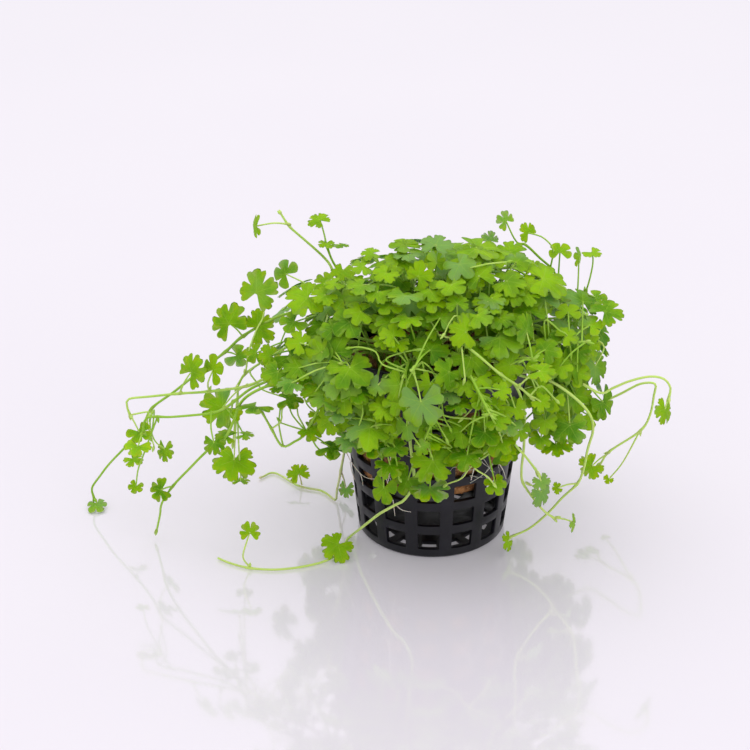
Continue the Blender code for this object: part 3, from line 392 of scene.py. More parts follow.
# Leaves of the crown, from the top of the picture down
CROWN_LEAVES = (
    Leaf(406, 246, 28, 16), Leaf(433, 247, 22, 18), Leaf(472, 253, 30, 20), Leaf(492, 260, 25, 20),
    Leaf(435, 262, 20, 20), Leaf(459, 264, 30, 24), Leaf(516, 262, 26, 20), Leaf(396, 267, 12, 10),
    Leaf(386, 273, 24, 18), Leaf(363, 285, 26, 16), Leaf(446, 284, 30, 22), Leaf(479, 276, 30, 26),
    Leaf(507, 281, 36, 24), Leaf(525, 292, 30, 24), Leaf(406, 296, 34, 16), Leaf(366, 300, 40, 24),
    Leaf(430, 290, 30, 20), Leaf(492, 298, 26, 20), Leaf(457, 304, 22, 18), Leaf(462, 315, 26, 20),
    Leaf(429, 318, 22, 18), Leaf(408, 318, 30, 12), Leaf(383, 323, 26, 24), Leaf(393, 336, 24, 22),
    Leaf(344, 300, 30, 22), Leaf(437, 331, 24, 20), Leaf(486, 326, 26, 22), Leaf(509, 323, 32, 22),
    Leaf(530, 312, 30, 24), Leaf(545, 350, 28, 24), Leaf(545, 300, 28, 20), Leaf(466, 345, 24, 18),
    Leaf(449, 372, 26, 32), Leaf(466, 384, 24, 22), Leaf(450, 393, 28, 20), Leaf(459, 404, 28, 16),
    Leaf(430, 384, 24, 26), Leaf(403, 376, 36, 32), Leaf(483, 417, 20, 24), Leaf(496, 404, 18, 16),
    Leaf(477, 394, 18, 20), Leaf(430, 441, 28, 16), Leaf(486, 441, 18, 24), Leaf(507, 407, 24, 22),
    Leaf(325, 368, 28, 40), Leaf(310, 362, 24, 26), Leaf(321, 352, 28, 30), Leaf(366, 400, 30, 30),
    Leaf(329, 421, 24, 28), Leaf(349, 420, 22, 24), Leaf(350, 440, 28, 20), Leaf(328, 396, 36, 24),
    Leaf(383, 341, 18, 14), Leaf(540, 402, 26, 22), Leaf(560, 402, 26, 26), Leaf(588, 415, 24, 28),
    Leaf(577, 372, 26, 24), Leaf(590, 345, 22, 24), Leaf(568, 312, 24, 18), Leaf(560, 425, 24, 22),
    Leaf(381, 410, 24, 22), Leaf(392, 425, 22, 20), Leaf(398, 400, 26, 24), Leaf(372, 446, 30, 22),
    Leaf(300, 343, 24, 22), Leaf(281, 385, 26, 16), Leaf(333, 330, 24, 20), Leaf(270, 356, 22, 22),
    Leaf(452, 452, 26, 22), Leaf(478, 446, 26, 24), Leaf(505, 452, 22, 18), Leaf(520, 430, 20, 22),
    Leaf(477, 378, 26, 22), Leaf(503, 376, 26, 20), Leaf(484, 402, 24, 18), Leaf(500, 390, 20, 18),
    Leaf(278, 372, 28, 24), Leaf(299, 368, 30, 26), Leaf(292, 383, 28, 18), Leaf(315, 392, 26, 20),
    Leaf(470, 432, 26, 22), Leaf(497, 420, 24, 20), Leaf(395, 447, 26, 20), Leaf(425, 428, 24, 20),
)

# Petioles and side stems that end without a leaf of their own; None stands for the dome
THREADS = (
    (21, ((283, 445), (279, 425), (280, 410))),
    (22, ((305, 431), (293, 427), (281, 423))),
    (22, ((305, 431), (293, 416), (289, 406))),
    (22, ((306, 431), (302, 423), (298, 415), (297, 406))),
    (24, ((312, 439), (316, 446), (330, 460), (334, 459), (336, 451))),
    (11, ((250, 373), (258, 384), (263, 390), (280, 396))),
    (15, ((307, 355), (311, 364), (318, 372), (326, 381))),
    (8, ((149, 412), (147, 420), (150, 433), (154, 446))),
    (8, ((154, 410), (153, 424), (151, 437))),
    (12, ((238, 387), (236, 410), (233, 442))),
    (None, ((382, 364), (376, 352), (360, 347), (350, 348))),
    (None, ((386, 360), (400, 353), (415, 350))),
    (None, ((422, 362), (413, 371), (408, 380))),
    (None, ((422, 362), (424, 372), (424, 384))),
    (None, ((422, 362), (432, 370), (438, 385), (441, 397), (444, 417), (450, 428))),
    (None, ((457, 316), (449, 324), (445, 333))),
    (None, ((462, 345), (463, 360), (465, 378))),
    (None, ((440, 335), (450, 338), (459, 339))),
    (None, ((436, 413), (450, 417), (460, 418), (475, 419))),
    (None, ((475, 405), (470, 411), (464, 417))),
    (None, ((362, 402), (363, 412), (357, 430), (350, 436))),
    (None, ((381, 438), (388, 446), (395, 455), (399, 478))),
    (None, ((381, 438), (388, 435), (396, 433))),
    (None, ((473, 465), (462, 478), (447, 484))),
    (None, ((474, 463), (488, 477), (493, 483))),
    (None, ((541, 386), (556, 400))),
    (None, ((545, 320), (560, 331), (567, 335), (571, 352))),
    (None, ((494, 382), (502, 393), (508, 403))),
    (None, ((452, 447), (440, 447), (427, 448))),
    (None, ((434, 415), (438, 424), (446, 438))),
    (None, ((470, 268), (488, 264), (507, 262))),
)
THREAD_REACH = 14.0 * MM

# Fine roots on the outside of the basket, as pixels, by the root that they join
WALL_ROOTS = {
    "root_front_left": (((346, 452), (352, 463), (362, 475), (372, 479), (380, 477)),
                        ((360, 473), (362, 479), (363, 486)), ((350, 462), (352, 472), (355, 480)),
                        ((381, 470), (386, 478), (388, 486), (384, 493)),
                        ((393, 500), (394, 508), (395, 516)), ((396, 505), (402, 510), (411, 512))),
    "root_front_right": (((505, 456), (495, 462), (484, 474), (470, 483)),
                         ((498, 462), (503, 470), (506, 479)), ((484, 474), (489, 481), (490, 488))),
    "root_side": (),
}

BACK_TUFTS = 8
BACK_LEAVES = 3
BACK_RUNNERS = (("runner_back_left", 108, 36, 12), ("runner_back_right", 76, 44, 16))
ROOT_WINDOWS = (("root_front_left", 3, 10), ("root_front_right", 1, 11), ("root_side", 4, 8))


@dataclass(frozen=True)
class PotShape:
    """Sizes of the tapered basket, and the room it leaves."""
    height: float = 59.0 * MM
    base_radius: float = 20.3 * MM
    top_radius: float = 26.6 * MM
    rim_radius: float = 27.8 * MM
    rim_height: float = 2.2 * MM
    wall: float = 1.2 * MM
    foot: float = 0.8 * MM
    slot_inner: float = 13.0 * MM
    slot_outer: float = 16.0 * MM
    columns: int = 14
    rows: int = 6
    window_share: float = 0.63
    window_height: float = 5.0 * MM
    window_pitch: float = 7.75 * MM
    first_window: float = 3.0 * MM
    turn: float = math.radians(-3.5)
    plug_bottom: float = 19.4 * MM
    plug_top: float = 50.0 * MM
    plug_gap: float = 0.6 * MM

    def radius(self, height: float) -> float:
        """Outer radius of the wall at a height."""
        return self.base_radius + (self.top_radius - self.base_radius) * height / self.height

    def clear(self, point: Vector, reach: float) -> bool:
        """Whether a ball of the given reach stays clear of the pot, the plug and the table."""
        radius = math.hypot(point.x, point.y)
        if point.z < reach - 0.1 * MM:
            return False
        if point.z > self.height + reach:
            return True
        if radius < self.top_radius - self.wall - reach - 0.8 * MM:
            return point.z > self.plug_top
        lip_foot = self.height - 2 * self.rim_height - reach
        lip = self.rim_radius if point.z > lip_foot else self.radius(point.z)
        return radius > lip + reach + 0.2 * MM


POT = PotShape()


def smooth_route(points: Sequence[Vector], step: float) -> list[Vector]:
    """Points about one step apart on a smooth curve through the given points."""
    ends = [points[0] * 2 - points[1]] + list(points) + [points[-1] * 2 - points[-2]]
    route = [points[0]]
    for i in range(1, len(ends) - 2):
        before, here, there, after = ends[i - 1:i + 3]
        pieces = max(1, round((there - here).length / step))
        for k in range(1, pieces + 1):
            t = k / pieces
            route.append(0.5 * (2 * here + (there - before) * t
                                + (2 * before - 5 * here + 4 * there - after) * t ** 2
                                + (3 * here - before - 3 * there + after) * t ** 3))
            route[-1].z = max(route[-1].z, TABLE_LIFT)
    return route


def along(line: Sequence[Vector]) -> list[Vector]:
    """Points close together on straight runs between the points of a line."""
    points = [line[0]]
    for here, there in zip(line, line[1:]):
        pieces = max(1, round((there - here).length / BALL_STEP))
        points += [here.lerp(there, (k + 1) / pieces) for k in range(pieces)]
    return points


def thin_route(points: Sequence[Vector], step: float) -> list[Vector]:
    """The fewest points of a smooth route that keep its bends, about one step apart at most."""
    fine = smooth_route(points, 1.0 * MM)
    kept = [fine[0]]
    heading = (fine[1] - fine[0])
    for here, ahead in zip(fine[1:-1], fine[2:]):
        onward = ahead - here
        if onward.length < 1e-6:
            continue
        bent = onward.angle(heading, 0.0) > STEM_TURN
        if (here - kept[-1]).length > step or (bent and (here - kept[-1]).length > step / 3):
            kept.append(here)
            heading = onward
    return kept + [fine[-1]]


class Room:
    """Keeps what each shoot fills, as balls, so that no two shoots meet."""

    def __init__(self) -> None:
        self.points: list[Vector] = []
        self.owners: list[tuple[str, float]] = []
        self.tree: KDTree | None = None

    def add(self, points: Sequence[Vector], owner: str, reach: float) -> None:
        """Fill the places of a shoot's points with balls."""
        self.points += points
        self.owners += [(owner, reach)] * len(points)
        self.tree = KDTree(len(self.points))
        for index, point in enumerate(self.points):
            self.tree.insert(point, index)
        self.tree.balance()

    def free(self, points: Sequence[Vector], owner: str, reach: float, gap: float = GAP) -> bool:
        """Whether the points are clear of other shoots, the pot and the table."""
        for point in points:
            if not POT.clear(point, reach):
                return False
            if self.tree is None:
                continue
            for _, index, distance in self.tree.find_range(point, reach + BLADE_REACH + gap):
                other, other_reach = self.owners[index]
                if other != owner and distance < reach + other_reach + gap:
                    return False
        return True


@dataclass
class Blade:
    """A placed leaf: its middle, its axes (sideways, forwards, normal) and its width."""
    place: Vector
    axes: tuple[Vector, Vector, Vector]
    size: float


class Growth:
    """One shoot as it is laid out: its stem's route and its leaves with their petioles."""

    def __init__(self, room: Room, name: str, tone: Tone, route: list[Vector]) -> None:
        self.name = name
        self.tone = tone
        self.route = route
        self.stem = thin_route(route, STEM_STEP)
        self.balls = along(self.stem)
        self.petioles: list[list[Vector]] = []
        self.blades: list[Blade] = []
        self.threads: list[list[Vector]] = []
        room.add(self.balls, name, STEM_RADIUS)

    def joint_near(self, place: Vector) -> Vector:
        """The point of the stem that is nearest to a place."""
        return min(self.balls, key=lambda ball: (ball - place).length)

    def joints_below(self, joint: Vector) -> list[Vector]:
        """A joint on the stem and others further down, where a petiole may start instead."""
        index = self.balls.index(joint)
        return [self.balls[max(index - drop, 1)] for drop in (0, 3, 7, 12)]


def depth_shifts(count: int) -> Iterator[float]:
    """Zero, then steps nearer to and further from the viewer, growing in turn."""
    yield 0.0
    for i in range(1, count):
        yield DEPTH_STEP * ((i + 1) // 2) * (1 if i % 2 else -1)


def frame_from(normal: Vector, place: Vector, root: Vector) -> tuple[Vector, Vector, Vector]:
    """A leaf's axes from its normal, with its notch towards the root of its petiole."""
    forwards = place - root
    forwards -= normal * forwards.dot(normal)
    if forwards.length < 1e-5:
        forwards = normal.orthogonal()
    forwards.normalize()
    return forwards.cross(normal).normalized(), forwards, normal.normalized()


def leaf_frame(leaf: Leaf, place: Vector, root: Vector) -> tuple[Vector, Vector, Vector]:
    """Sideways, forwards and normal of a leaf whose notch turns towards its root."""
    shape = min(leaf.wide, leaf.high) / max(leaf.wide, leaf.high)
    turn = math.acos(max(min(shape, 1.0), 0.15))
    aside = SIDEWAYS * (1 if place.x > DOME_CENTRE.x else -1)
    tilt_to = VIEW.upwards if leaf.wide >= leaf.high else aside
    normal = VIEW.backwards * math.cos(turn) + tilt_to * math.sin(turn)
    return frame_from(normal, place, root)


def blade_points(blade: Blade) -> list[Vector]:
    """Balls over a leaf's blade."""
    points = [blade.place.copy()]
    for ring, count in ((0.26, 7), (0.5, 12)):
        for i in range(count):
            angle = 2 * math.pi * i / count
            spoke = blade.axes[0] * math.cos(angle) + blade.axes[1] * math.sin(angle)
            points.append(blade.place + spoke * blade.size * ring)
    return points


def dome_normal(point: Vector) -> Vector:
    """Outward direction of the crown's dome at a point."""
    scaled = point - DOME_CENTRE
    return Vector([scaled[i] / DOME_RADII[i] ** 2 for i in range(3)]).normalized()


def hub_below(middle: Vector) -> Vector:
    """Where the stem of a tuft ends, inside its leaves."""
    reach = math.hypot(middle.x, middle.y)
    if middle.z > POT.height + 7 * MM or reach < POT.rim_radius:
        return CROWN_HEART + (middle - CROWN_HEART) * 0.72
    away = Vector((middle.x, middle.y, 0)).normalized()
    hub = away * max(reach - 1 * MM, POT.rim_radius + 3 * MM)
    hub.z = min(middle.z + 10 * MM, POT.height + 4 * MM)
    return hub


def from_plug(first: Vector, turn: int) -> list[Vector]:
    """Points that lead from the plug's top to a route's first point, over the pot's rim."""
    angle = math.atan2(first.y, first.x)
    reach = math.hypot(first.x, first.y)
    start_reach = min(max(reach * 0.45, 5 * MM), 19 * MM) + (turn % 4 - 1.5) * 1.7 * MM
    start_angle = angle + 0.22 * ((turn * 5) % 7 - 3) / max(start_reach / (8 * MM), 1)
    start = Vector((math.cos(start_angle), math.sin(start_angle), 0)) * start_reach
    start.z = POT.plug_top + 0.4 * MM
    route = [start, start + Vector((0, 0, 6 * MM))]
    over_angle = angle + 0.09 * ((turn * 3) % 7 - 3)
    away = Vector((math.cos(over_angle), math.sin(over_angle), 0))
    if reach > POT.rim_radius:
        rise = (3.2 + turn % 3 * 1.5) * MM
        route.append(away * (POT.rim_radius - 1.5 * MM) + Vector((0, 0, POT.height + rise)))
    if reach > POT.rim_radius and first.z < POT.height - 4 * MM:
        route.append(away * (POT.rim_radius + 3 * MM) + Vector((0, 0, POT.height + 0.5 * MM)))
    return route


class Gardener:
    """Lays out every shoot: the same routes as the solids', and then the small extra leaves."""

    def __init__(self) -> None:
        self.room = Room()
        self.growths: dict[str, Growth] = {}
        self.gap = GAP

    def grow_stem(self, name: str, make_route: Callable[[float, int], list[Vector]]) -> list[Vector]:
        """The first route, over a few shifts in depth, that is clear of what stands there."""
        for turn, shift in enumerate(depth_shifts(DEPTH_TRIES * 2)):
            route = make_route(shift, turn)
            if self.room.free(along(thin_route(route, STEM_STEP))[2:], name, STEM_RADIUS):
                return route
        raise RuntimeError("no room for " + name)

    def grow_leaf(self, growth: Growth, blade: Blade, root: Vector, via: Sequence[Vector]) -> bool:
        """Add a leaf and its petiole to a shoot, if it is clear of the others."""
        joint = blade.place + blade.axes[1] * blade.size * LEAF_JOINT
        petiole = [root] + list(via) + [joint]
        if via:
            petiole = thin_route(petiole, STEM_STEP)
        balls = along(petiole)[2:]
        points = blade_points(blade)
        if not self.room.free(balls, growth.name, PETIOLE_RADIUS, self.gap):
            return False
        if not self.room.free(points, growth.name, BLADE_REACH, self.gap):
            return False
        growth.petioles.append([root] + list(via) + [blade.place.copy()])
        growth.blades.append(blade)
        self.room.add(balls, growth.name, PETIOLE_RADIUS)
        self.room.add(points, growth.name, BLADE_REACH)
        return True

    def grow_photo_leaf(self, growth: Growth, leaf: Leaf, place_of: Callable[[float], Vector],
                        root: Vector, via_of: Callable[[float], Sequence[Vector]]) -> bool:
        """Place a leaf behind its pixel, nearer or further until it is clear."""
        for shift in depth_shifts(DEPTH_TRIES):
            place = place_of(shift)
            size = VIEW.real_size(max(leaf.wide, leaf.high), place)
            for start in growth.joints_below(root):
                blade = Blade(place, leaf_frame(leaf, place, start), size)
                if self.grow_leaf(growth, blade, start, via_of(shift)):
                    return True
        return False

    def runner_route(self, runner: Runner, shift: float, turn: int) -> list[Vector]:
        """A runner's whole route at one shift in depth."""
        points = [VIEW.on_table(u, v, TABLE_LIFT) if out is TABLE
                  else VIEW.on_plane(u, v, out * MM + shift) for u, v, out in runner.route]
        lead = from_plug(points[0], turn)
        if (points[0] - lead[-1]).length < 3 * MM:
            lead.pop()
        return lead + points

    def grow_runner_leaves(self, runner: Runner, leaves: Sequence[Leaf]) -> None:
        """Leaves of a runner, each on a petiole from its route point."""
        growth = self.growths[runner.name]
        offset = len(growth.route) - len(runner.route)
        for leaf in leaves:
            root = growth.joint_near(growth.route[offset + leaf.spot])
            ahead = -root.y + 1.5 * MM
            self.grow_photo_leaf(
                growth, leaf, lambda shift: VIEW.on_plane(leaf.u, leaf.v, ahead + shift), root,
                lambda shift: [VIEW.on_plane(u, v, ahead + shift * 0.5) for u, v in leaf.via])

    def grow_tuft(self, tuft: Tuft) -> None:
        """A short shoot that spreads its leaves on the dome, given as pixels."""
        places = [VIEW.on_dome(leaf.u, leaf.v, 0.96) for leaf in tuft.leaves]
        hub = hub_below(sum(places, Vector()) / len(places))

        def make_route(shift: float, turn: int) -> list[Vector]:
            end = hub - VIEW.sight_line(tuft.leaves[0].u, tuft.leaves[0].v) * shift
            end += SIDEWAYS * ((turn * 2) % 5 - 2) * SIDE_STEP
            return from_plug(end, turn) + [end]

        route = self.grow_stem(tuft.name, make_route)
        self.growths[tuft.name] = Growth(self.room, tuft.name, Tone.DEEP, route)
        self.grow_tuft_leaves(tuft, tuft.leaves, 0)

    def grow_tuft_leaves(self, tuft: Tuft, leaves: Sequence[Leaf], first: int) -> None:
        """Leaves of a tuft, on petioles that leave its stem near the tip."""
        growth = self.growths[tuft.name]
        for i, leaf in enumerate(leaves, first):
            root = growth.balls[-1 - PETIOLE_SPACING * i]
            sight = VIEW.sight_line(leaf.u, leaf.v)
            self.grow_photo_leaf(
                growth, leaf, lambda shift: VIEW.on_dome(leaf.u, leaf.v, 1.0) - sight * shift,
                root, lambda shift: ())

    def grow_back_tuft(self, number: int, dice: random.Random) -> None:
        """A short shoot on the far side of the crown, laid out by rule."""
        name = f"tuft_back_{number + 1:02d}"
        angle = math.radians(8 + 164 * ((number + 0.5) / BACK_TUFTS))
        height = (0.10, 0.55, -0.25)[number % 3]
        flat = math.sqrt(1 - height ** 2)
        ray = Vector((math.cos(angle) * flat, math.sin(angle) * flat, height))
        middle = DOME_CENTRE + Vector([ray[i] * DOME_RADII[i] for i in range(3)]) * 0.92
        hub = hub_below(middle)

        def make_route(shift: float, turn: int) -> list[Vector]:
            end = hub + ray * shift * 0.6
            return from_plug(end, turn) + [end]

        growth = Growth(self.room, name, Tone.DEEP, self.grow_stem(name, make_route))
        self.growths[name] = growth
        for i in range(BACK_LEAVES):
            for _ in range(DEPTH_TRIES):
                way = 2 * math.pi * (i + dice.uniform(-0.2, 0.2)) / BACK_LEAVES
                side = ray.orthogonal().normalized()
                spread = (side * math.cos(way) + ray.cross(side) * math.sin(way))
                place = middle + spread * dice.uniform(6.5, 10) * MM + ray * dice.uniform(-2, 3) * MM
                normal = (dome_normal(place) + Vector((0, 0, 0.7))).normalized()
                root = growth.balls[-1 - PETIOLE_SPACING * i]
                size = dice.uniform(7.5, 10.5) * MM
                blade = Blade(place, frame_from(normal, place, root), size)
                if self.grow_leaf(growth, blade, root, ()):
                    break

    def grow_back_runner(self, name: str, angle: float, length: float, height: float) -> None:
        """A runner that hangs over the pot's far rim and trails on the table behind it."""
        away = Vector((math.cos(math.radians(angle)), math.sin(math.radians(angle)), 0))

        def make_route(shift: float, turn: int) -> list[Vector]:
            side = Vector((-away.y, away.x, 0)) * shift * 0.5
            rim = POT.rim_radius
            path = [(rim - 1 * MM, POT.height + 4 * MM), (rim + 6 * MM, 50 * MM),
                    (rim + 8 * MM, 30 * MM), (rim + 7 * MM, height * MM),
                    (rim + 12 * MM, 2 * MM), (rim + length * 0.7 * MM, TABLE_LIFT)]
            points = [away * reach + side + Vector((0, 0, z)) for reach, z in path]
            return from_plug(points[0], turn)[:2] + points

        route = self.grow_stem(name, make_route)
        growth = Growth(self.room, name, Tone.PALE, route)
        self.growths[name] = growth
        for spot, drop, size in ((4, 4, 9), (5, 0, 8), (7, 5, 7)):
            root = growth.joint_near(route[spot])
            for turn in (1, -1, 1.8, -1.8):
                place = root + away * 5 * MM + Vector((-away.y, away.x, 0)) * turn * 5 * MM
                place.z = max(root.z + drop * MM, 3 * MM)
                normal = (away * 0.6 + Vector((0, 0, 1))).normalized()
                blade = Blade(place, frame_from(normal, place, root), size * MM)
                if self.grow_leaf(growth, blade, root, ()):
                    break

    def grow_all(self) -> dict[str, Growth]:
        """Lay out every shoot, and then the leaves that only the finished plant has."""
        for runner in RUNNERS:
            route = self.grow_stem(
                runner.name, lambda shift, turn: self.runner_route(runner, shift, turn))
            self.growths[runner.name] = Growth(self.room, runner.name, runner.tone, route)
        for runner in RUNNERS:
            self.grow_runner_leaves(runner, runner.leaves)
        for tuft in TUFTS:
            self.grow_tuft(tuft)
        for name, angle, length, height in BACK_RUNNERS:
            self.grow_back_runner(name, angle, length, height)
        dice = random.Random(SEED)
        for number in range(BACK_TUFTS):
            self.grow_back_tuft(number, dice)
        self.gap = FINE_GAP
        for runner in RUNNERS:
            self.grow_runner_leaves(runner, runner.extra)
        for tuft in TUFTS:
            self.grow_tuft_leaves(tuft, tuft.extra, len(tuft.leaves))
        self.grow_crown()
        self.fill_crown(random.Random(FILL_SEED))
        for out, pixels in THREADS:
            self.grow_thread(out, pixels)
        return self.growths

    def tufts(self) -> list[Growth]:
        """The shoots of the crown."""
        return [growth for name, growth in self.growths.items() if name.startswith("tuft")]

    def grow_crown(self) -> None:
        """The crown's leaves as the photograph shows them, each on a near tuft that has room."""
        for leaf in CROWN_LEAVES:
            place = VIEW.on_dome(leaf.u, leaf.v, 1.0)
            sight = VIEW.sight_line(leaf.u, leaf.v)
            near = sorted((min((ball - place).length for ball in growth.balls), growth.name)
                          for growth in self.tufts())
            for _, name in near[:FILL_HOSTS]:
                growth = self.growths[name]
                root = min(growth.balls[3:], key=lambda ball: (ball - place).length)
                if self.grow_photo_leaf(growth, leaf, lambda shift: place - sight * shift, root,
                                        lambda shift: ()):
                    break

    def grow_thread(self, out: float | None, pixels: Sequence[tuple[float, float]]) -> None:
        """A bare petiole along pixels, on the nearest shoot, at the first depth with room."""
        for shift in depth_shifts(DEPTH_TRIES):
            if out is None:
                line = [VIEW.on_dome(u, v, 1.0) - VIEW.sight_line(u, v) * shift for u, v in pixels]
            else:
                line = [VIEW.on_plane(u, v, out * MM + shift) for u, v in pixels]
            reach, name = min((min((ball - line[0]).length for ball in growth.balls), growth.name)
                              for growth in self.growths.values())
            growth = self.growths[name]
            if reach < THREAD_REACH:
                line.insert(0, growth.joint_near(line[0]))
            balls = along(line)[2:]
            if self.room.free(balls, name, PETIOLE_RADIUS, self.gap):
                growth.threads.append(line)
                self.room.add(balls, name, PETIOLE_RADIUS)
                return

    def fill_crown(self, dice: random.Random) -> None:
        """Leaves all over the crown's dome, in shells, each on the nearest tuft with room."""
        tufts = self.tufts()
        for share in FILL_SHARES:
            for number in range(FILL_TRIES):
                height = 1 - (1 - FILL_LOWEST) * (number + 0.5) / FILL_TRIES
                angle = number * math.pi * (3 - math.sqrt(5)) + dice.uniform(-0.2, 0.2)
                flat = math.sqrt(1 - height ** 2)
                ray = Vector((math.cos(angle) * flat, math.sin(angle) * flat, height))
                away = share * dice.uniform(0.94, 1.04)
                place = DOME_CENTRE + Vector([ray[i] * DOME_RADII[i] for i in range(3)]) * away
                size = dice.uniform(*FILL_SIZES)
                if not self.in_open_spot(place):
                    self.grow_filler(tufts, place, size, dice)

    def in_open_spot(self, place: Vector) -> bool:
        """Whether a place lies where the photograph looks past the leaves."""
        u, v = VIEW.pixel_of(place)
        if math.hypot((u - CROWN_MIDDLE[0]) / CROWN_SPAN[0], (v - CROWN_MIDDLE[1]) / CROWN_SPAN[1]) > 1:
            return True
        return any(left < u < right and top < v < bottom for left, top, right, bottom in OPEN_SPOTS)

    def grow_filler(self, tufts: Sequence[Growth], place: Vector, size: float,
                    dice: random.Random) -> None:
        """One leaf at a place, on a petiole from one of the nearest stems."""
        lean = Vector((dice.uniform(-0.35, 0.35), dice.uniform(-0.35, 0.35), FILL_RISE))
        normal = (dome_normal(place) + lean).normalized()
        near = sorted((min((ball - place).length for ball in growth.balls), growth.name)
                      for growth in tufts)
        for _, name in near[:FILL_HOSTS]:
            growth = self.growths[name]
            root = min(growth.balls[3:], key=lambda ball: (ball - place).length)
            for start in growth.joints_below(root):
                blade = Blade(place, frame_from(normal, place, start), size)
                if self.grow_leaf(growth, blade, start, ()):
                    return


class Sketch:
    """A geometry node tree as it is drawn, with short calls for its nodes and links."""

    def __init__(self, name: str) -> None:
        self.tree = bpy.data.node_groups.new(name, "GeometryNodeTree")
        self.ids: dict[str, str] = {}
        self.add_input("Geometry", "NodeSocketGeometry")
        self.tree.interface.new_socket("Geometry", in_out="OUTPUT", socket_type="NodeSocketGeometry")
        self.start = self.node("NodeGroupInput")
        self.end = self.node("NodeGroupOutput")

    def add_input(self, name: str, kind: str) -> None:
        """Add a named input to the tree."""
        socket = self.tree.interface.new_socket(name, in_out="INPUT", socket_type=kind)
        self.ids[name] = socket.identifier

    def given(self, name: str) -> bpy.types.NodeSocket:
        """The value of a named input."""
        return self.start.outputs[name]

    def node(self, kind: str, **settings: object) -> bpy.types.Node:
        """Add a node and set its options."""
        made = self.tree.nodes.new(kind)
        for key, value in settings.items():
            setattr(made, key, value)
        return made

    def link(self, source: bpy.types.NodeSocket, target: bpy.types.NodeSocket) -> None:
        """Join an output to an input."""
        self.tree.links.new(source, target)

    def chain(self, source: bpy.types.NodeSocket, *nodes: bpy.types.Node) -> bpy.types.NodeSocket:
        """Run geometry through nodes, in at the first socket and out at the first."""
        for made in nodes:
            self.link(source, made.inputs[0])
            source = made.outputs[0]
        return source

    def attribute(self, name: str, kind: str = "FLOAT") -> bpy.types.NodeSocket:
        """A named attribute of the geometry."""
        made = self.node("GeometryNodeInputNamedAttribute", data_type=kind)
        made.inputs["Name"].default_value = name
        return made.outputs["Attribute"]


def plain_mesh(base: bpy.types.Mesh, sketch: Sketch, values: dict[str, object], name: str) -> bpy.types.Mesh:
    """The plain mesh that a geometry node tree makes of a base mesh.

    Args:
        base: The mesh the tree starts from.
        sketch: The tree.
        values: A value for each named input.
        name: The new mesh's name.

    Returns:
        The evaluated mesh, with nothing live left on it.
    """
    holder = bpy.data.objects.new(name + "_base", base)
    bpy.context.scene.collection.objects.link(holder)
    modifier = holder.modifiers.new("grow", "NODES")
    modifier.node_group = sketch.tree
    for key, value in values.items():
        modifier[sketch.ids[key]] = value
    holder.update_tag()
    shape = holder.evaluated_get(bpy.context.evaluated_depsgraph_get())
    mesh = bpy.data.meshes.new_from_object(shape)
    mesh.name = name
    bpy.data.objects.remove(holder)
    return mesh


def add_piece(name: str, mesh: bpy.types.Mesh, slot: str, *nodes: str) -> bpy.types.Object:
    """Put a finished mesh in the scene, riding on the plant's body in place of its solids."""
    piece = bpy.data.objects.new(name, mesh)
    bpy.context.scene.collection.objects.link(piece)
    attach(piece, BODY)
    if nodes:
        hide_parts(*nodes)
    log.info("%s: %d faces", name, len(mesh.polygons))
    return piece


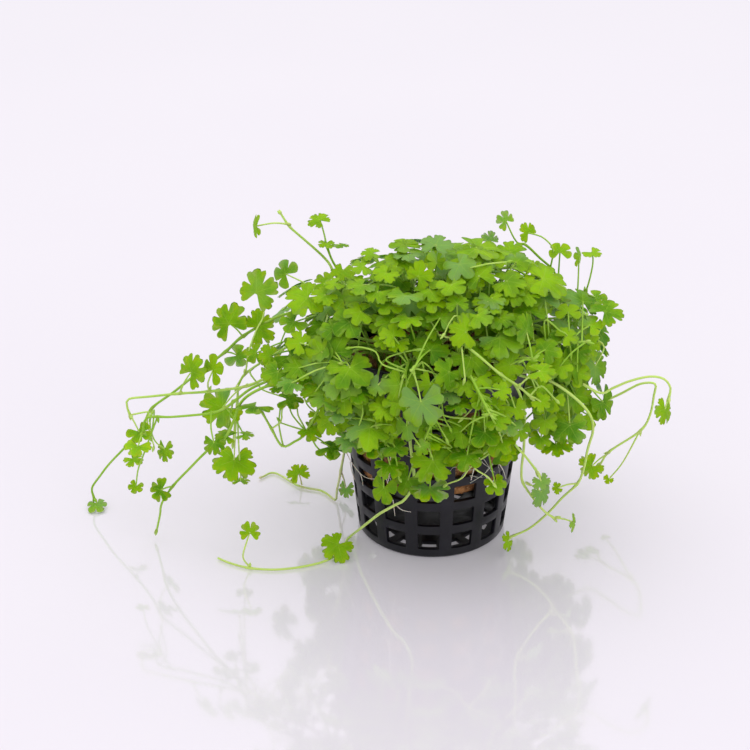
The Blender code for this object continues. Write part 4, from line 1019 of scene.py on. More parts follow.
class Finish:
    """A procedural material as it is drawn, with short calls for its nodes."""

    def __init__(self, name: str) -> None:
        self.material = bpy.data.materials.new(name)
        self.material.use_nodes = True
        self.nodes = self.material.node_tree.nodes
        self.shader = self.nodes["Principled BSDF"]

    def node(self, kind: str, **settings: object) -> bpy.types.Node:
        """Add a node and set its options."""
        made = self.nodes.new(kind)
        for key, value in settings.items():
            setattr(made, key, value)
        return made

    def link(self, source: bpy.types.NodeSocket, target: bpy.types.NodeSocket) -> None:
        """Join an output to an input."""
        self.material.node_tree.links.new(source, target)

    def set(self, **values: object) -> None:
        """Set constants on the shader's own sockets, named with _ for spaces."""
        for key, value in values.items():
            self.shader.inputs[key.replace("_", " ")].default_value = value

    def value(self, source: object, target: bpy.types.NodeSocket) -> None:
        """Link a socket, or set a plain number."""
        if isinstance(source, (int, float)):
            target.default_value = source
        else:
            self.link(source, target)

    def math(self, operation: str, *values: object) -> bpy.types.NodeSocket:
        """A math node's output."""
        made = self.node("ShaderNodeMath", operation=operation)
        for source, target in zip(values, made.inputs):
            self.value(source, target)
        return made.outputs[0]

    def spread(self, source: object, low: float, high: float, to_low: float = 0.0,
               to_high: float = 1.0) -> bpy.types.NodeSocket:
        """A value taken smoothly from one range to another, and clamped there."""
        made = self.node("ShaderNodeMapRange", interpolation_type="SMOOTHSTEP")
        self.value(source, made.inputs["Value"])
        made.inputs["From Min"].default_value = low
        made.inputs["From Max"].default_value = high
        made.inputs["To Min"].default_value = to_low
        made.inputs["To Max"].default_value = to_high
        return made.outputs["Result"]

    def mix(self, factor: object, first: object, second: object) -> bpy.types.NodeSocket:
        """A mix of two colours, each a socket or three numbers."""
        made = self.node("ShaderNodeMix", data_type="RGBA")
        self.value(factor, made.inputs["Factor"])
        for source, target in ((first, made.inputs[6]), (second, made.inputs[7])):
            if isinstance(source, tuple):
                target.default_value = (*source, 1)
            else:
                self.link(source, target)
        return made.outputs[2]

    def noise(self, scale: float, detail: float = 3.0, roughness: float = 0.55) -> bpy.types.NodeSocket:
        """Noise over the object's own coordinates, given per metre."""
        place = self.node("ShaderNodeTexCoord")
        made = self.node("ShaderNodeTexNoise")
        made.inputs["Scale"].default_value = scale
        made.inputs["Detail"].default_value = detail
        made.inputs["Roughness"].default_value = roughness
        self.link(place.outputs["Object"], made.inputs["Vector"])
        return made.outputs["Fac"]

    def attribute(self, name: str) -> bpy.types.NodeSocket:
        """A named number that the mesh carries."""
        made = self.node("ShaderNodeAttribute", attribute_name=name)
        return made.outputs["Fac"]

    def bump(self, height: bpy.types.NodeSocket, strength: float, distance: float) -> None:
        """Raise the surface by a height."""
        made = self.node("ShaderNodeBump")
        made.inputs["Strength"].default_value = strength
        made.inputs["Distance"].default_value = distance
        self.link(height, made.inputs["Height"])
        self.link(made.outputs["Normal"], self.shader.inputs["Normal"])


def srgb(red: int, green: int, blue: int) -> Colour:
    """A colour for the shader from the 0 to 255 values that the eye sees on a screen."""
    def linear(value: int) -> float:
        share = value / 255
        return share / 12.92 if share <= 0.04045 else ((share + 0.055) / 1.055) ** 2.4
    return linear(red), linear(green), linear(blue)


@dataclass(frozen=True)
class LeafFinish:
    """Fresh green blade with pale veins that fan out from a pale joint, and a painted sheen on some leaves.
    """
    deep: Colour = srgb(66, 120, 0)
    bright: Colour = srgb(141, 188, 0)
    # Pale bluish tint painted on some leaves as sheen, in place of a highlight
    painted_sheen: Colour = srgb(122, 166, 78)
    vein: Colour = srgb(168, 204, 70)
    back: Colour = srgb(122, 164, 50)
    roughness: float = 0.5

    def make(self) -> bpy.types.Material:
        """Draw the material."""
        paint = Finish("leaf_green")
        paint.set(Roughness=self.roughness, Specular_IOR_Level=0.14, Subsurface_Weight=0.25,
                  Subsurface_Scale=0.0012)
        paint.shader.inputs["Subsurface Radius"].default_value = (0.5, 1.0, 0.15)
        lobe = paint.node("ShaderNodeUVMap", uv_map="lobe")
        parts = paint.node("ShaderNodeSeparateXYZ")
        paint.link(lobe.outputs["UV"], parts.inputs[0])
        aside = paint.math("ABSOLUTE", parts.outputs["X"])
        under = paint.math("GREATER_THAN", parts.outputs["Y"], 1.5)
        ahead = paint.math("SUBTRACT", parts.outputs["Y"], paint.math("MULTIPLY", under, 2.0))
        main = paint.spread(aside, 0.004, 0.016, 1.0, 0.0)
        climb = paint.math("SUBTRACT", ahead, paint.math("MULTIPLY", aside, 1.15))
        wave = paint.math("SINE", paint.math("MULTIPLY", climb, 62.0))
        side = paint.math("MULTIPLY", paint.spread(wave, 0.75, 1.0), 0.45)
        reach = paint.math("SQRT", paint.math("ADD", paint.math("MULTIPLY", aside, aside),
                                              paint.math("MULTIPLY", ahead, ahead)))
        dot = paint.spread(reach, 0.015, 0.07, 1.0, 0.0)
        fade = paint.spread(reach, 0.15, 0.5, 1.0, 0.25)
        veins = paint.math("MAXIMUM", paint.math("MULTIPLY", paint.math("MAXIMUM", main, side), fade), dot)
        tone = paint.math("ADD", paint.attribute("tone"),
                          paint.spread(paint.noise(170, 4), 0.3, 0.7, -0.22, 0.22))
        body = paint.mix(paint.spread(tone, 0.0, 1.0), self.deep, self.bright)
        # Painted sheen: a pale bluish tint, in clouds of noise over some leaves, stands in for a highlight
        sheen_cloud = paint.math("ADD", paint.attribute("wax"),
                           paint.spread(paint.noise(60, 2), 0.4, 0.65, -0.3, 0.3))
        body = paint.mix(paint.spread(sheen_cloud, 0.58, 1.15), body, self.painted_sheen)
        body = paint.mix(paint.math("MULTIPLY", under, 0.55), body, self.back)
        colour = paint.mix(paint.math("MULTIPLY", veins, 0.26), body, self.vein)
        paint.link(colour, paint.shader.inputs["Base Color"])
        relief = paint.math("SUBTRACT", paint.noise(900, 3), paint.math("MULTIPLY", veins, 0.8))
        paint.bump(relief, 0.35, 0.0002)
        return paint.material


@dataclass(frozen=True)
class StemFinish:
    """Juicy green stem that turns pale towards where it was shaded."""
    green: Colour = srgb(150, 194, 52)
    pale: Colour = srgb(206, 234, 122)
    cream: Colour = srgb(226, 220, 178)

    def make(self) -> bpy.types.Material:
        """Draw the material."""
        paint = Finish("stem_green")
        paint.set(Roughness=0.4, Specular_IOR_Level=0.3, Subsurface_Weight=0.3,
                  Subsurface_Scale=0.001)
        paint.shader.inputs["Subsurface Radius"].default_value = (0.6, 1.0, 0.25)
        tone = paint.math("ADD", paint.attribute("pale"),
                          paint.spread(paint.noise(120, 3), 0.3, 0.7, -0.15, 0.15))
        body = paint.mix(paint.spread(tone, 0.1, 0.9), self.green, self.pale)
        body = paint.mix(paint.spread(tone, 1.1, 1.6), body, self.cream)
        paint.link(body, paint.shader.inputs["Base Color"])
        paint.bump(paint.noise(700, 3), 0.25, 0.0001)
        return paint.material


@dataclass(frozen=True)
class RootFinish:
    """Thin cream roots."""
    cream: Colour = srgb(240, 232, 216)
    tan: Colour = srgb(204, 176, 138)

    def make(self) -> bpy.types.Material:
        """Draw the material."""
        paint = Finish("root_cream")
        paint.set(Roughness=0.6, Subsurface_Weight=0.15, Subsurface_Scale=0.001)
        body = paint.mix(paint.spread(paint.noise(250, 4), 0.45, 0.75), self.cream, self.tan)
        paint.link(body, paint.shader.inputs["Base Color"])
        paint.bump(paint.noise(1400, 3), 0.3, 0.0001)
        return paint.material


@dataclass(frozen=True)
class PlasticFinish:
    """Moulded black plastic with a soft shine, slightly dusty."""
    black: Colour = srgb(12, 12, 20)
    dust: Colour = srgb(36, 35, 48)

    def make(self) -> bpy.types.Material:
        """Draw the material."""
        paint = Finish("pot_plastic")
        paint.set(Specular_IOR_Level=0.35)
        patch = paint.spread(paint.noise(90, 5), 0.52, 0.78)
        body = paint.mix(paint.math("MULTIPLY", patch, 0.45), self.black, self.dust)
        paint.link(body, paint.shader.inputs["Base Color"])
        paint.link(paint.spread(paint.noise(240, 4), 0.3, 0.7, 0.30, 0.46),
                   paint.shader.inputs["Roughness"])
        paint.bump(paint.noise(2600, 2), 0.12, 0.00005)
        return paint.material


@dataclass(frozen=True)
class WoolFinish:
    """Damp brown rockwool, matted from fibres."""
    brown: Colour = srgb(182, 128, 80)
    dark: Colour = srgb(104, 68, 40)
    straw: Colour = srgb(224, 188, 138)

    def make(self) -> bpy.types.Material:
        """Draw the material."""
        paint = Finish("rockwool_brown")
        paint.set(Roughness=0.95, Specular_IOR_Level=0.2)
        body = paint.mix(paint.spread(paint.noise(260, 5), 0.35, 0.65), self.dark, self.brown)
        body = paint.mix(paint.spread(paint.noise(900, 3), 0.55, 0.75), body, self.straw)
        paint.link(body, paint.shader.inputs["Base Color"])
        paint.bump(paint.noise(1500, 5), 0.9, 0.0006)
        return paint.material


@dataclass(frozen=True)
class FloorFinish:
    """Plain pale table top with a faint shine."""
    colour: Colour = srgb(220, 215, 222)
    other: Colour = srgb(214, 209, 218)

    def make(self) -> bpy.types.Material:
        """Draw the material."""
        paint = Finish("table_top")
        paint.set(Specular_IOR_Level=0.9, Coat_Weight=1.0, Coat_Roughness=0.05, Coat_IOR=1.6,
                  Emission_Strength=0.16)
        paint.shader.inputs["Emission Color"].default_value = (0.97, 0.94, 1.0, 1.0)
        body = paint.mix(paint.spread(paint.noise(6, 2), 0.3, 0.7, 0.0, 0.3), self.colour,
                         self.other)
        paint.link(body, paint.shader.inputs["Base Color"])
        paint.link(paint.spread(paint.noise(30, 2), 0.3, 0.7, 0.06, 0.13),
                   paint.shader.inputs["Roughness"])
        return paint.material


class Teeth(Enum):
    """One side of a lobe's edge, sinus to tip: shares of the lobe's half angle and reach."""
    THREE = ((0.90, 0.66), (0.80, 0.88), (0.64, 0.965), (0.47, 0.94), (0.36, 0.88), (0.21, 0.98),
             (0.0, 1.0))
    TWO = ((0.90, 0.68), (0.79, 0.89), (0.58, 0.99), (0.28, 0.98), (0.12, 0.91), (0.0, 0.89))
    ROUND = ((0.90, 0.70), (0.77, 0.90), (0.50, 0.965), (0.24, 0.995), (0.0, 1.0))


@dataclass(frozen=True)
class LeafForm:
    """One form of blade, one unit wide, its lobes fanned round the joint at its origin."""
    lobes: int
    spread: float
    sinus: float
    teeth: Teeth
    basal: float
    cup: float
    fold: float
    droop: float
    seed: int
    thickness: float = 0.026
    notch: float = 0.06
    unlike: float = 0.12
    inner: float = 0.55

    def fan(self) -> list[tuple[float, float]]:
        """The middle angle and half angle of each lobe, from one side of the notch round."""
        dice = random.Random(self.seed)
        widths = [1 + dice.uniform(-self.unlike, self.unlike) for _ in range(self.lobes)]
        whole = math.radians(self.spread)
        angle = (math.pi + whole) / 2
        fan = []
        for width in widths:
            half = whole * width / sum(widths) / 2
            fan.append((angle - half, half))
            angle -= 2 * half
        return fan

    def outline(self) -> list[tuple[float, float, int]]:
        """Angle, radius and lobe of each point on the edge, from one side of the notch round."""
        dice = random.Random(self.seed + 1)
        side = self.teeth.value
        edge = list(side) + [(-share, reach) for share, reach in reversed(side[:-1])]
        points = []
        for lobe, (middle, half) in enumerate(self.fan()):
            from_middle = abs(2 * lobe / (self.lobes - 1) - 1)
            reach = 0.5 * (1 - self.basal * from_middle ** 2) * (1 + dice.uniform(-0.06, 0.06))
            dip = self.notch if lobe == 0 else 0.5 * self.sinus * (1 + dice.uniform(-0.1, 0.1))
            points.append((middle + half, dip, lobe))
            points += [(middle + half * share, reach * out * (1 + dice.uniform(-0.015, 0.015)), lobe)
                       for share, out in edge]
        points.append((middle - half, self.notch, self.lobes - 1))
        return points

    def in_lobe(self, x: float, y: float, lobe: int) -> tuple[float, float]:
        """How far a point lies beside and along a lobe's midrib."""
        angle = self.fan()[lobe][0]
        return x * math.sin(angle) - y * math.cos(angle), x * math.cos(angle) + y * math.sin(angle)

    def lift(self, x: float, y: float, lobe: int) -> float:
        """Height of the blade's upper face."""
        aside, ahead = self.in_lobe(x, y, lobe)
        reach = math.hypot(x, y)
        return self.fold * abs(aside) + self.cup * reach ** 2 - self.droop * max(ahead, 0) ** 3

    def rise(self, x: float, y: float, lobe: int, drop: float) -> tuple[float, float, float]:
        """The point of the upper face over x and y, let down by a drop for the lower face."""
        return x, y, self.lift(x, y, lobe) - drop

    def make(self, name: str, finish: bpy.types.Material) -> bpy.types.Object:
        """Build the closed blade, with its lobe coordinates as a UV map.

        Each face of the blade has two pieces to a half lobe: a triangle at the joint, and one
        face from there out to the edge.

        Args:
            name: The new object's name.
            finish: The material of both faces.

        Returns:
            The blade, which isn't in the scene.
        """
        bm = bmesh.new()
        uv = bm.loops.layers.uv.new("lobe")
        flat = [(math.cos(a) * r, math.sin(a) * r, lobe) for a, r, lobe in self.outline()]
        rim = [bm.verts.new(self.rise(x, y, lobe, 0)) for x, y, lobe in flat]
        stops = list(range(0, len(flat), len(self.teeth.value)))
        for under in (False, True):
            drop = self.thickness if under else 0.0
            joint = bm.verts.new((0, 0, -drop))
            inner = {i: bm.verts.new(self.rise(x * self.inner, y * self.inner, lobe, drop))
                     for i, (x, y, lobe) in enumerate(flat) if i in stops}
            halves = [(i, k, rim[i:k + 1]) for i, k in zip(stops, stops[1:])]
            halves.append((stops[-1], 0, [rim[-1], rim[0]]))
            for i, k, edge in halves:
                for corners in ([joint, inner[i], inner[k]], [inner[i], *edge, inner[k]]):
                    face = bm.faces.new(corners if under else corners[::-1])
                    face.smooth = True
                    for loop in face.loops:
                        place = loop.vert.co
                        aside, ahead = self.in_lobe(place.x, place.y, flat[i][2])
                        loop[uv].uv = (aside, ahead + (2.0 if under else 0.0))
        bm.normal_update()
        for here, there in zip(rim, rim[1:] + rim[:1]):
            bm.edges.get((here, there)).smooth = False
        mesh = bpy.data.meshes.new(name)
        bm.to_mesh(mesh)
        bm.free()
        mesh.materials.append(finish)
        return bpy.data.objects.new(name, mesh)


LEAF_FORMS = (
    LeafForm(lobes=5, spread=308, sinus=0.56, teeth=Teeth.THREE, basal=0.12, cup=0.08, fold=0.06,
             droop=0.6, seed=1),
    LeafForm(lobes=4, spread=300, sinus=0.46, teeth=Teeth.THREE, basal=0.08, cup=-0.18, fold=0.07,
             droop=0.2, seed=2),
    LeafForm(lobes=5, spread=300, sinus=0.52, teeth=Teeth.TWO, basal=0.10, cup=0.18, fold=0.04,
             droop=0.9, seed=3),
    LeafForm(lobes=4, spread=292, sinus=0.42, teeth=Teeth.TWO, basal=0.08, cup=0.0, fold=0.08,
             droop=0.5, seed=4),
    LeafForm(lobes=5, spread=306, sinus=0.60, teeth=Teeth.ROUND, basal=0.14, cup=-0.10, fold=0.08,
             droop=0.6, seed=5),
    LeafForm(lobes=4, spread=296, sinus=0.44, teeth=Teeth.ROUND, basal=0.06, cup=0.05, fold=0.05,
             droop=0.4, seed=6),
    LeafForm(lobes=3, spread=282, sinus=0.44, teeth=Teeth.THREE, basal=0.06, cup=0.05, fold=0.05,
             droop=0.5, seed=7),
    LeafForm(lobes=5, spread=318, sinus=0.62, teeth=Teeth.THREE, basal=0.16, cup=-0.22, fold=0.05,
             droop=0.3, seed=8),
)


class LineTree(Sketch):
    """Turns lines into round stems or roots, as thick as each point's girth."""

    def __init__(self, name: str = "lines") -> None:
        super().__init__(name)
        self.add_input("Stem sides", "NodeSocketInt")
        self.add_input("Stem finish", "NodeSocketMaterial")
        self.draw()

    def draw(self) -> None:
        """Join the tree's parts to its output."""
        self.link(self.stems(self.given("Geometry")), self.end.inputs[0])

    def stems(self, lines: bpy.types.NodeSocket) -> bpy.types.NodeSocket:
        """Tubes along the lines."""
        circle = self.node("GeometryNodeCurvePrimitiveCircle", mode="RADIUS")
        self.link(self.given("Stem sides"), circle.inputs["Resolution"])
        circle.inputs["Radius"].default_value = 1.0
        tube = self.node("GeometryNodeCurveToMesh")
        self.link(circle.outputs[0], tube.inputs["Profile Curve"])
        self.link(self.attribute("girth"), tube.inputs["Scale"])
        tube.inputs["Fill Caps"].default_value = True
        finish = self.node("GeometryNodeSetMaterial")
        self.link(self.given("Stem finish"), finish.inputs["Material"])
        return self.chain(lines, self.node("GeometryNodeMeshToCurve"), tube,
                          self.node("GeometryNodeSetShadeSmooth"),
                          self.node("GeometryNodeRealizeInstances"), finish)


class ShootTree(LineTree):
    """Turns a shoot's lines and leaf points into stems and leaf blades."""

    def draw(self) -> None:
        """Part the lines from the leaf points, and join what grows on both."""
        self.add_input("Leaf forms", "NodeSocketCollection")
        self.add_input("Leaf finish", "NodeSocketMaterial")
        self.add_input("Warp", "NodeSocketFloat")
        self.add_input("Warp scale", "NodeSocketFloat")
        parted = self.node("GeometryNodeSeparateGeometry", domain="POINT")
        self.link(self.given("Geometry"), parted.inputs["Geometry"])
        self.link(self.attribute("is_leaf", "BOOLEAN"), parted.inputs["Selection"])
        joined = self.node("GeometryNodeJoinGeometry")
        self.link(self.leaves(parted.outputs["Selection"]), joined.inputs[0])
        self.link(self.stems(parted.outputs["Inverted"]), joined.inputs[0])
        self.link(joined.outputs[0], self.end.inputs[0])

    def leaves(self, points: bpy.types.NodeSocket) -> bpy.types.NodeSocket:
        """A blade on each point, turned and sized as the point says, and gently warped."""
        forms = self.node("GeometryNodeCollectionInfo", transform_space="ORIGINAL")
        self.link(self.given("Leaf forms"), forms.inputs["Collection"])
        forms.inputs["Separate Children"].default_value = True
        forms.inputs["Reset Children"].default_value = True
        place = self.node("GeometryNodeInstanceOnPoints")
        place.inputs["Pick Instance"].default_value = True
        self.link(forms.outputs[0], place.inputs["Instance"])
        self.link(self.attribute("form", "INT"), place.inputs["Instance Index"])
        turn = self.node("FunctionNodeEulerToRotation")
        self.link(self.attribute("turn", "FLOAT_VECTOR"), turn.inputs[0])
        self.link(turn.outputs[0], place.inputs["Rotation"])
        self.link(self.attribute("size"), place.inputs["Scale"])
        waves = self.node("ShaderNodeTexNoise")
        self.link(self.given("Warp scale"), waves.inputs["Scale"])
        centred = self.node("ShaderNodeVectorMath", operation="SUBTRACT")
        self.link(waves.outputs["Color"], centred.inputs[0])
        centred.inputs[1].default_value = (0.5, 0.5, 0.5)
        scaled = self.node("ShaderNodeVectorMath", operation="SCALE")
        self.link(centred.outputs[0], scaled.inputs[0])
        self.link(self.given("Warp"), scaled.inputs["Scale"])
        warp = self.node("GeometryNodeSetPosition")
        self.link(scaled.outputs[0], warp.inputs["Offset"])
        finish = self.node("GeometryNodeSetMaterial")
        self.link(self.given("Leaf finish"), finish.inputs["Material"])
        return self.chain(points, self.node("GeometryNodeMeshToPoints"), place,
                          self.node("GeometryNodeRealizeInstances"), warp, finish)


class RingTree(Sketch):
    """Repeats a piece of the basket all the way round its axis, and closes the joins."""

    def __init__(self) -> None:
        super().__init__("ring")
        self.add_input("Columns", "NodeSocketInt")
        self.add_input("Finish", "NodeSocketMaterial")
        points = self.node("GeometryNodePoints")
        self.link(self.given("Columns"), points.inputs["Count"])
        step = self.node("ShaderNodeMath", operation="DIVIDE")
        step.inputs[0].default_value = 2 * math.pi
        self.link(self.given("Columns"), step.inputs[1])
        angle = self.node("ShaderNodeMath", operation="MULTIPLY")
        self.link(self.node("GeometryNodeInputIndex").outputs[0], angle.inputs[0])
        self.link(step.outputs[0], angle.inputs[1])
        turn = self.node("ShaderNodeCombineXYZ")
        self.link(angle.outputs[0], turn.inputs["Z"])
        place = self.node("GeometryNodeInstanceOnPoints")
        self.link(self.given("Geometry"), place.inputs["Instance"])
        self.link(turn.outputs[0], place.inputs["Rotation"])
        merge = self.node("GeometryNodeMergeByDistance")
        merge.inputs["Distance"].default_value = 0.00002
        finish = self.node("GeometryNodeSetMaterial")
        self.link(self.given("Finish"), finish.inputs["Material"])
        self.link(self.chain(points.outputs[0], place, self.node("GeometryNodeRealizeInstances"),
                             merge, finish), self.end.inputs[0])


class FibreTree(Sketch):
    """Scatters loose fibres over a surface, lying mostly along it, and keeps the surface."""

    def __init__(self) -> None:
        super().__init__("fibres")
        self.add_input("Density", "NodeSocketFloat")
        self.add_input("Seed", "NodeSocketInt")
        self.add_input("Finish", "NodeSocketMaterial")
        scatter = self.node("GeometryNodeDistributePointsOnFaces")
        self.link(self.given("Geometry"), scatter.inputs["Mesh"])
        self.link(self.given("Density"), scatter.inputs["Density"])
        self.link(self.given("Seed"), scatter.inputs["Seed"])
        spin = self.node("FunctionNodeRandomValue", data_type="FLOAT_VECTOR")
        spin.inputs["Min"].default_value = (-0.45, -0.45, 0.0)
        spin.inputs["Max"].default_value = (0.45, 0.45, 2 * math.pi)
        self.link(self.given("Seed"), spin.inputs["Seed"])
        own = self.node("FunctionNodeEulerToRotation")
        self.link(spin.outputs["Value"], own.inputs[0])
        turned = self.node("FunctionNodeRotateRotation", rotation_space="LOCAL")
        self.link(scatter.outputs["Rotation"], turned.inputs[0])
        self.link(own.outputs[0], turned.inputs[1])
        size = self.node("FunctionNodeRandomValue", data_type="FLOAT")
        size.inputs[2].default_value = 0.6
        size.inputs[3].default_value = 1.4
        arc = self.node("GeometryNodeCurveArc")
        arc.inputs["Resolution"].default_value = 5
        arc.inputs["Radius"].default_value = 2.4 * MM
        arc.inputs["Start Angle"].default_value = math.radians(60)
        arc.inputs["Sweep Angle"].default_value = math.radians(60)
        shift = self.node("GeometryNodeTransform")
        shift.inputs["Translation"].default_value = (0, -2.3 * MM, 0)
        tilt = self.node("GeometryNodeTransform")
        tilt.inputs["Rotation"].default_value = (math.pi / 2, 0, 0)
        circle = self.node("GeometryNodeCurvePrimitiveCircle", mode="RADIUS")
        circle.inputs["Resolution"].default_value = 3
        circle.inputs["Radius"].default_value = 0.07 * MM
        tube = self.node("GeometryNodeCurveToMesh")
        tube.inputs["Fill Caps"].default_value = True
        self.link(circle.outputs[0], tube.inputs["Profile Curve"])
        fibre = self.chain(arc.outputs[0], shift, tilt, tube)
        place = self.node("GeometryNodeInstanceOnPoints")
        self.link(scatter.outputs["Points"], place.inputs["Points"])
        self.link(fibre, place.inputs["Instance"])
        self.link(turned.outputs[0], place.inputs["Rotation"])
        self.link(size.outputs[1], place.inputs["Scale"])
        joined = self.node("GeometryNodeJoinGeometry")
        self.link(self.given("Geometry"), joined.inputs[0])
        self.link(self.chain(place.outputs[0], self.node("GeometryNodeRealizeInstances")),
                  joined.inputs[0])
        finish = self.node("GeometryNodeSetMaterial")
        self.link(self.given("Finish"), finish.inputs["Material"])
        self.link(self.chain(joined.outputs[0], finish), self.end.inputs[0])


@dataclass
class Basket:
    """The net pot: a tapered basket of square windows under a plain band and a rolled rim."""
    shape: PotShape = field(default_factory=PotShape)
    rib_steps: int = 3
    window_steps: int = 4
    edge: float = 0.22 * MM

    def rings(self) -> list[tuple[float, float, bool]]:
        """Radius and height of each ring, and whether windows open below it."""
        shape = self.shape
        rings = [(shape.slot_inner, 0.0, False), (shape.slot_outer, 0.0, True),
                 (shape.base_radius - shape.foot, 0.0, False),
                 (shape.radius(shape.foot), shape.foot, False)]
        for row in range(shape.rows):
            low = shape.first_window + shape.window_pitch * row
            high = low + shape.window_height
            rings.append((shape.radius(low), low, False))
            rings.append((shape.radius(high), high, True))
        shoulder = shape.height - 2 * shape.rim_height
        rings.append((shape.radius(shoulder), shoulder, False))
        rings.append((shape.rim_radius, shape.height - shape.rim_height, False))
        rings.append((shape.rim_radius, shape.height, False))
        return rings

    def column(self) -> bpy.types.Mesh:
        """One column of the skin: its window, and the rib beside it."""
        shape = self.shape
        pitch = 2 * math.pi / shape.columns
        start = -math.pi / 2 + shape.turn - pitch * shape.window_share / 2
        window = pitch * shape.window_share
        turns = [start + window * i / self.window_steps for i in range(self.window_steps)]
        turns += [start + window + (pitch - window) * i / self.rib_steps
                  for i in range(self.rib_steps + 1)]
        bm = bmesh.new()
        rings = [[bm.verts.new((math.cos(a) * r, math.sin(a) * r, z)) for a in turns]
                 for r, z, _ in self.rings()]
        centre = bm.verts.new((0, 0, 0))
        opens = [window_ring for _, _, window_ring in self.rings()]
        for i in range(len(turns) - 1):
            bm.faces.new((centre, rings[0][i + 1], rings[0][i]))
            for row in range(1, len(rings)):
                if opens[row] and i < self.window_steps:
                    continue
                bm.faces.new((rings[row - 1][i], rings[row - 1][i + 1],
                              rings[row][i + 1], rings[row][i]))
        mesh = bpy.data.meshes.new("basket_column")
        bm.to_mesh(mesh)
        bm.free()
        return mesh

    def build(self) -> None:
        """Turn the column round the axis, give it a wall and soften its edges."""
        sketch = RingTree()
        values = {"Columns": self.shape.columns, "Finish": PlasticFinish().make()}
        skin = plain_mesh(self.column(), sketch, values, "basket_skin")
        holder = bpy.data.objects.new("basket_holder", skin)
        bpy.context.scene.collection.objects.link(holder)
        wall = holder.modifiers.new("wall", "SOLIDIFY")
        wall.thickness = self.shape.wall
        wall.offset = -1
        wall.use_even_offset = True
        soft = holder.modifiers.new("soft edges", "BEVEL")
        soft.width = self.edge
        soft.segments = 2
        soft.limit_method = "ANGLE"
        soft.angle_limit = math.radians(35)
        shape = holder.evaluated_get(bpy.context.evaluated_depsgraph_get())
        mesh = bpy.data.meshes.new_from_object(shape)
        bpy.data.objects.remove(holder)
        mesh.shade_smooth()
        mesh.set_sharp_from_angle(angle=math.radians(40))
        add_piece("fine_net_pot", mesh, "pot_black", "net_pot")


@dataclass
class Rockwool:
    """The plug of brown rockwool, lumpy and matted, with fibres that stand off it."""
    shape: PotShape = field(default_factory=PotShape)
    sides: int = 120
    layers: int = 44
    gap: float = 0.50 * MM
    lumps: float = 0.40 * MM
    rounding: float = 1.2 * MM
    cap_rings: tuple[float, ...] = (0.12, 0.3, 0.5, 0.68, 0.85)
    density: float = 260000.0
    seed: int = 2

    def rounded(self, height: float) -> float:
        """Radius of the plug at a height, rounded towards its two ends."""
        shape = self.shape
        edge = min(height - shape.plug_bottom, shape.plug_top - height)
        rounding = self.rounding * max(0.0, 1 - edge / self.rounding) ** 2
        return shape.radius(height) - shape.wall - self.gap - rounding

    def profile(self) -> list[tuple[float, float]]:
        """Radius and height of each ring: out over the bottom, up the side, in over the top."""
        low, high = self.shape.plug_bottom, self.shape.plug_top
        heights = [low + (high - low) * i / self.layers for i in range(self.layers + 1)]
        side = [(self.rounded(height), height) for height in heights]
        bottom = [(side[0][0] * share, low) for share in self.cap_rings]
        top = [(side[-1][0] * share, high) for share in reversed(self.cap_rings)]
        return bottom + side + top

    def build(self) -> None:
        """Build the plug in place of its plain solid."""
        bm = bmesh.new()
        rows = [[self.lumpy(bm, radius, 2 * math.pi * i / self.sides, height)
                 for i in range(self.sides)] for radius, height in self.profile()]
        for low, high in zip(rows, rows[1:]):
            for i in range(self.sides):
                k = (i + 1) % self.sides
                bm.faces.new((low[i], low[k], high[k], high[i]))
        bm.faces.new(list(reversed(rows[0])))
        bm.faces.new(rows[-1])
        for face in bm.faces:
            face.smooth = True
        mesh = bpy.data.meshes.new("rockwool")
        bm.to_mesh(mesh)
        bm.free()
        values = {"Density": self.density, "Seed": self.seed, "Finish": WoolFinish().make()}
        mesh = plain_mesh(mesh, FibreTree(), values, "fine_rockwool")
        add_piece("fine_rockwool", mesh, "rockwool", "rockwool_plug")

    def lumpy(self, bm: bmesh.types.BMesh, radius: float, angle: float,
              height: float) -> bmesh.types.BMVert:
        """A point of the surface, moved in or out by two sizes of lump."""
        place = Vector((math.cos(angle) * radius, math.sin(angle) * radius, height))
        coarse = noise.noise(place * 260) * self.lumps
        fine = noise.noise(place * 900) * self.lumps * 0.5
        away = Vector((place.x, place.y, 0)).normalized()
        return bm.verts.new(place + away * (coarse + fine) + Vector((0, 0, coarse * 0.8)))


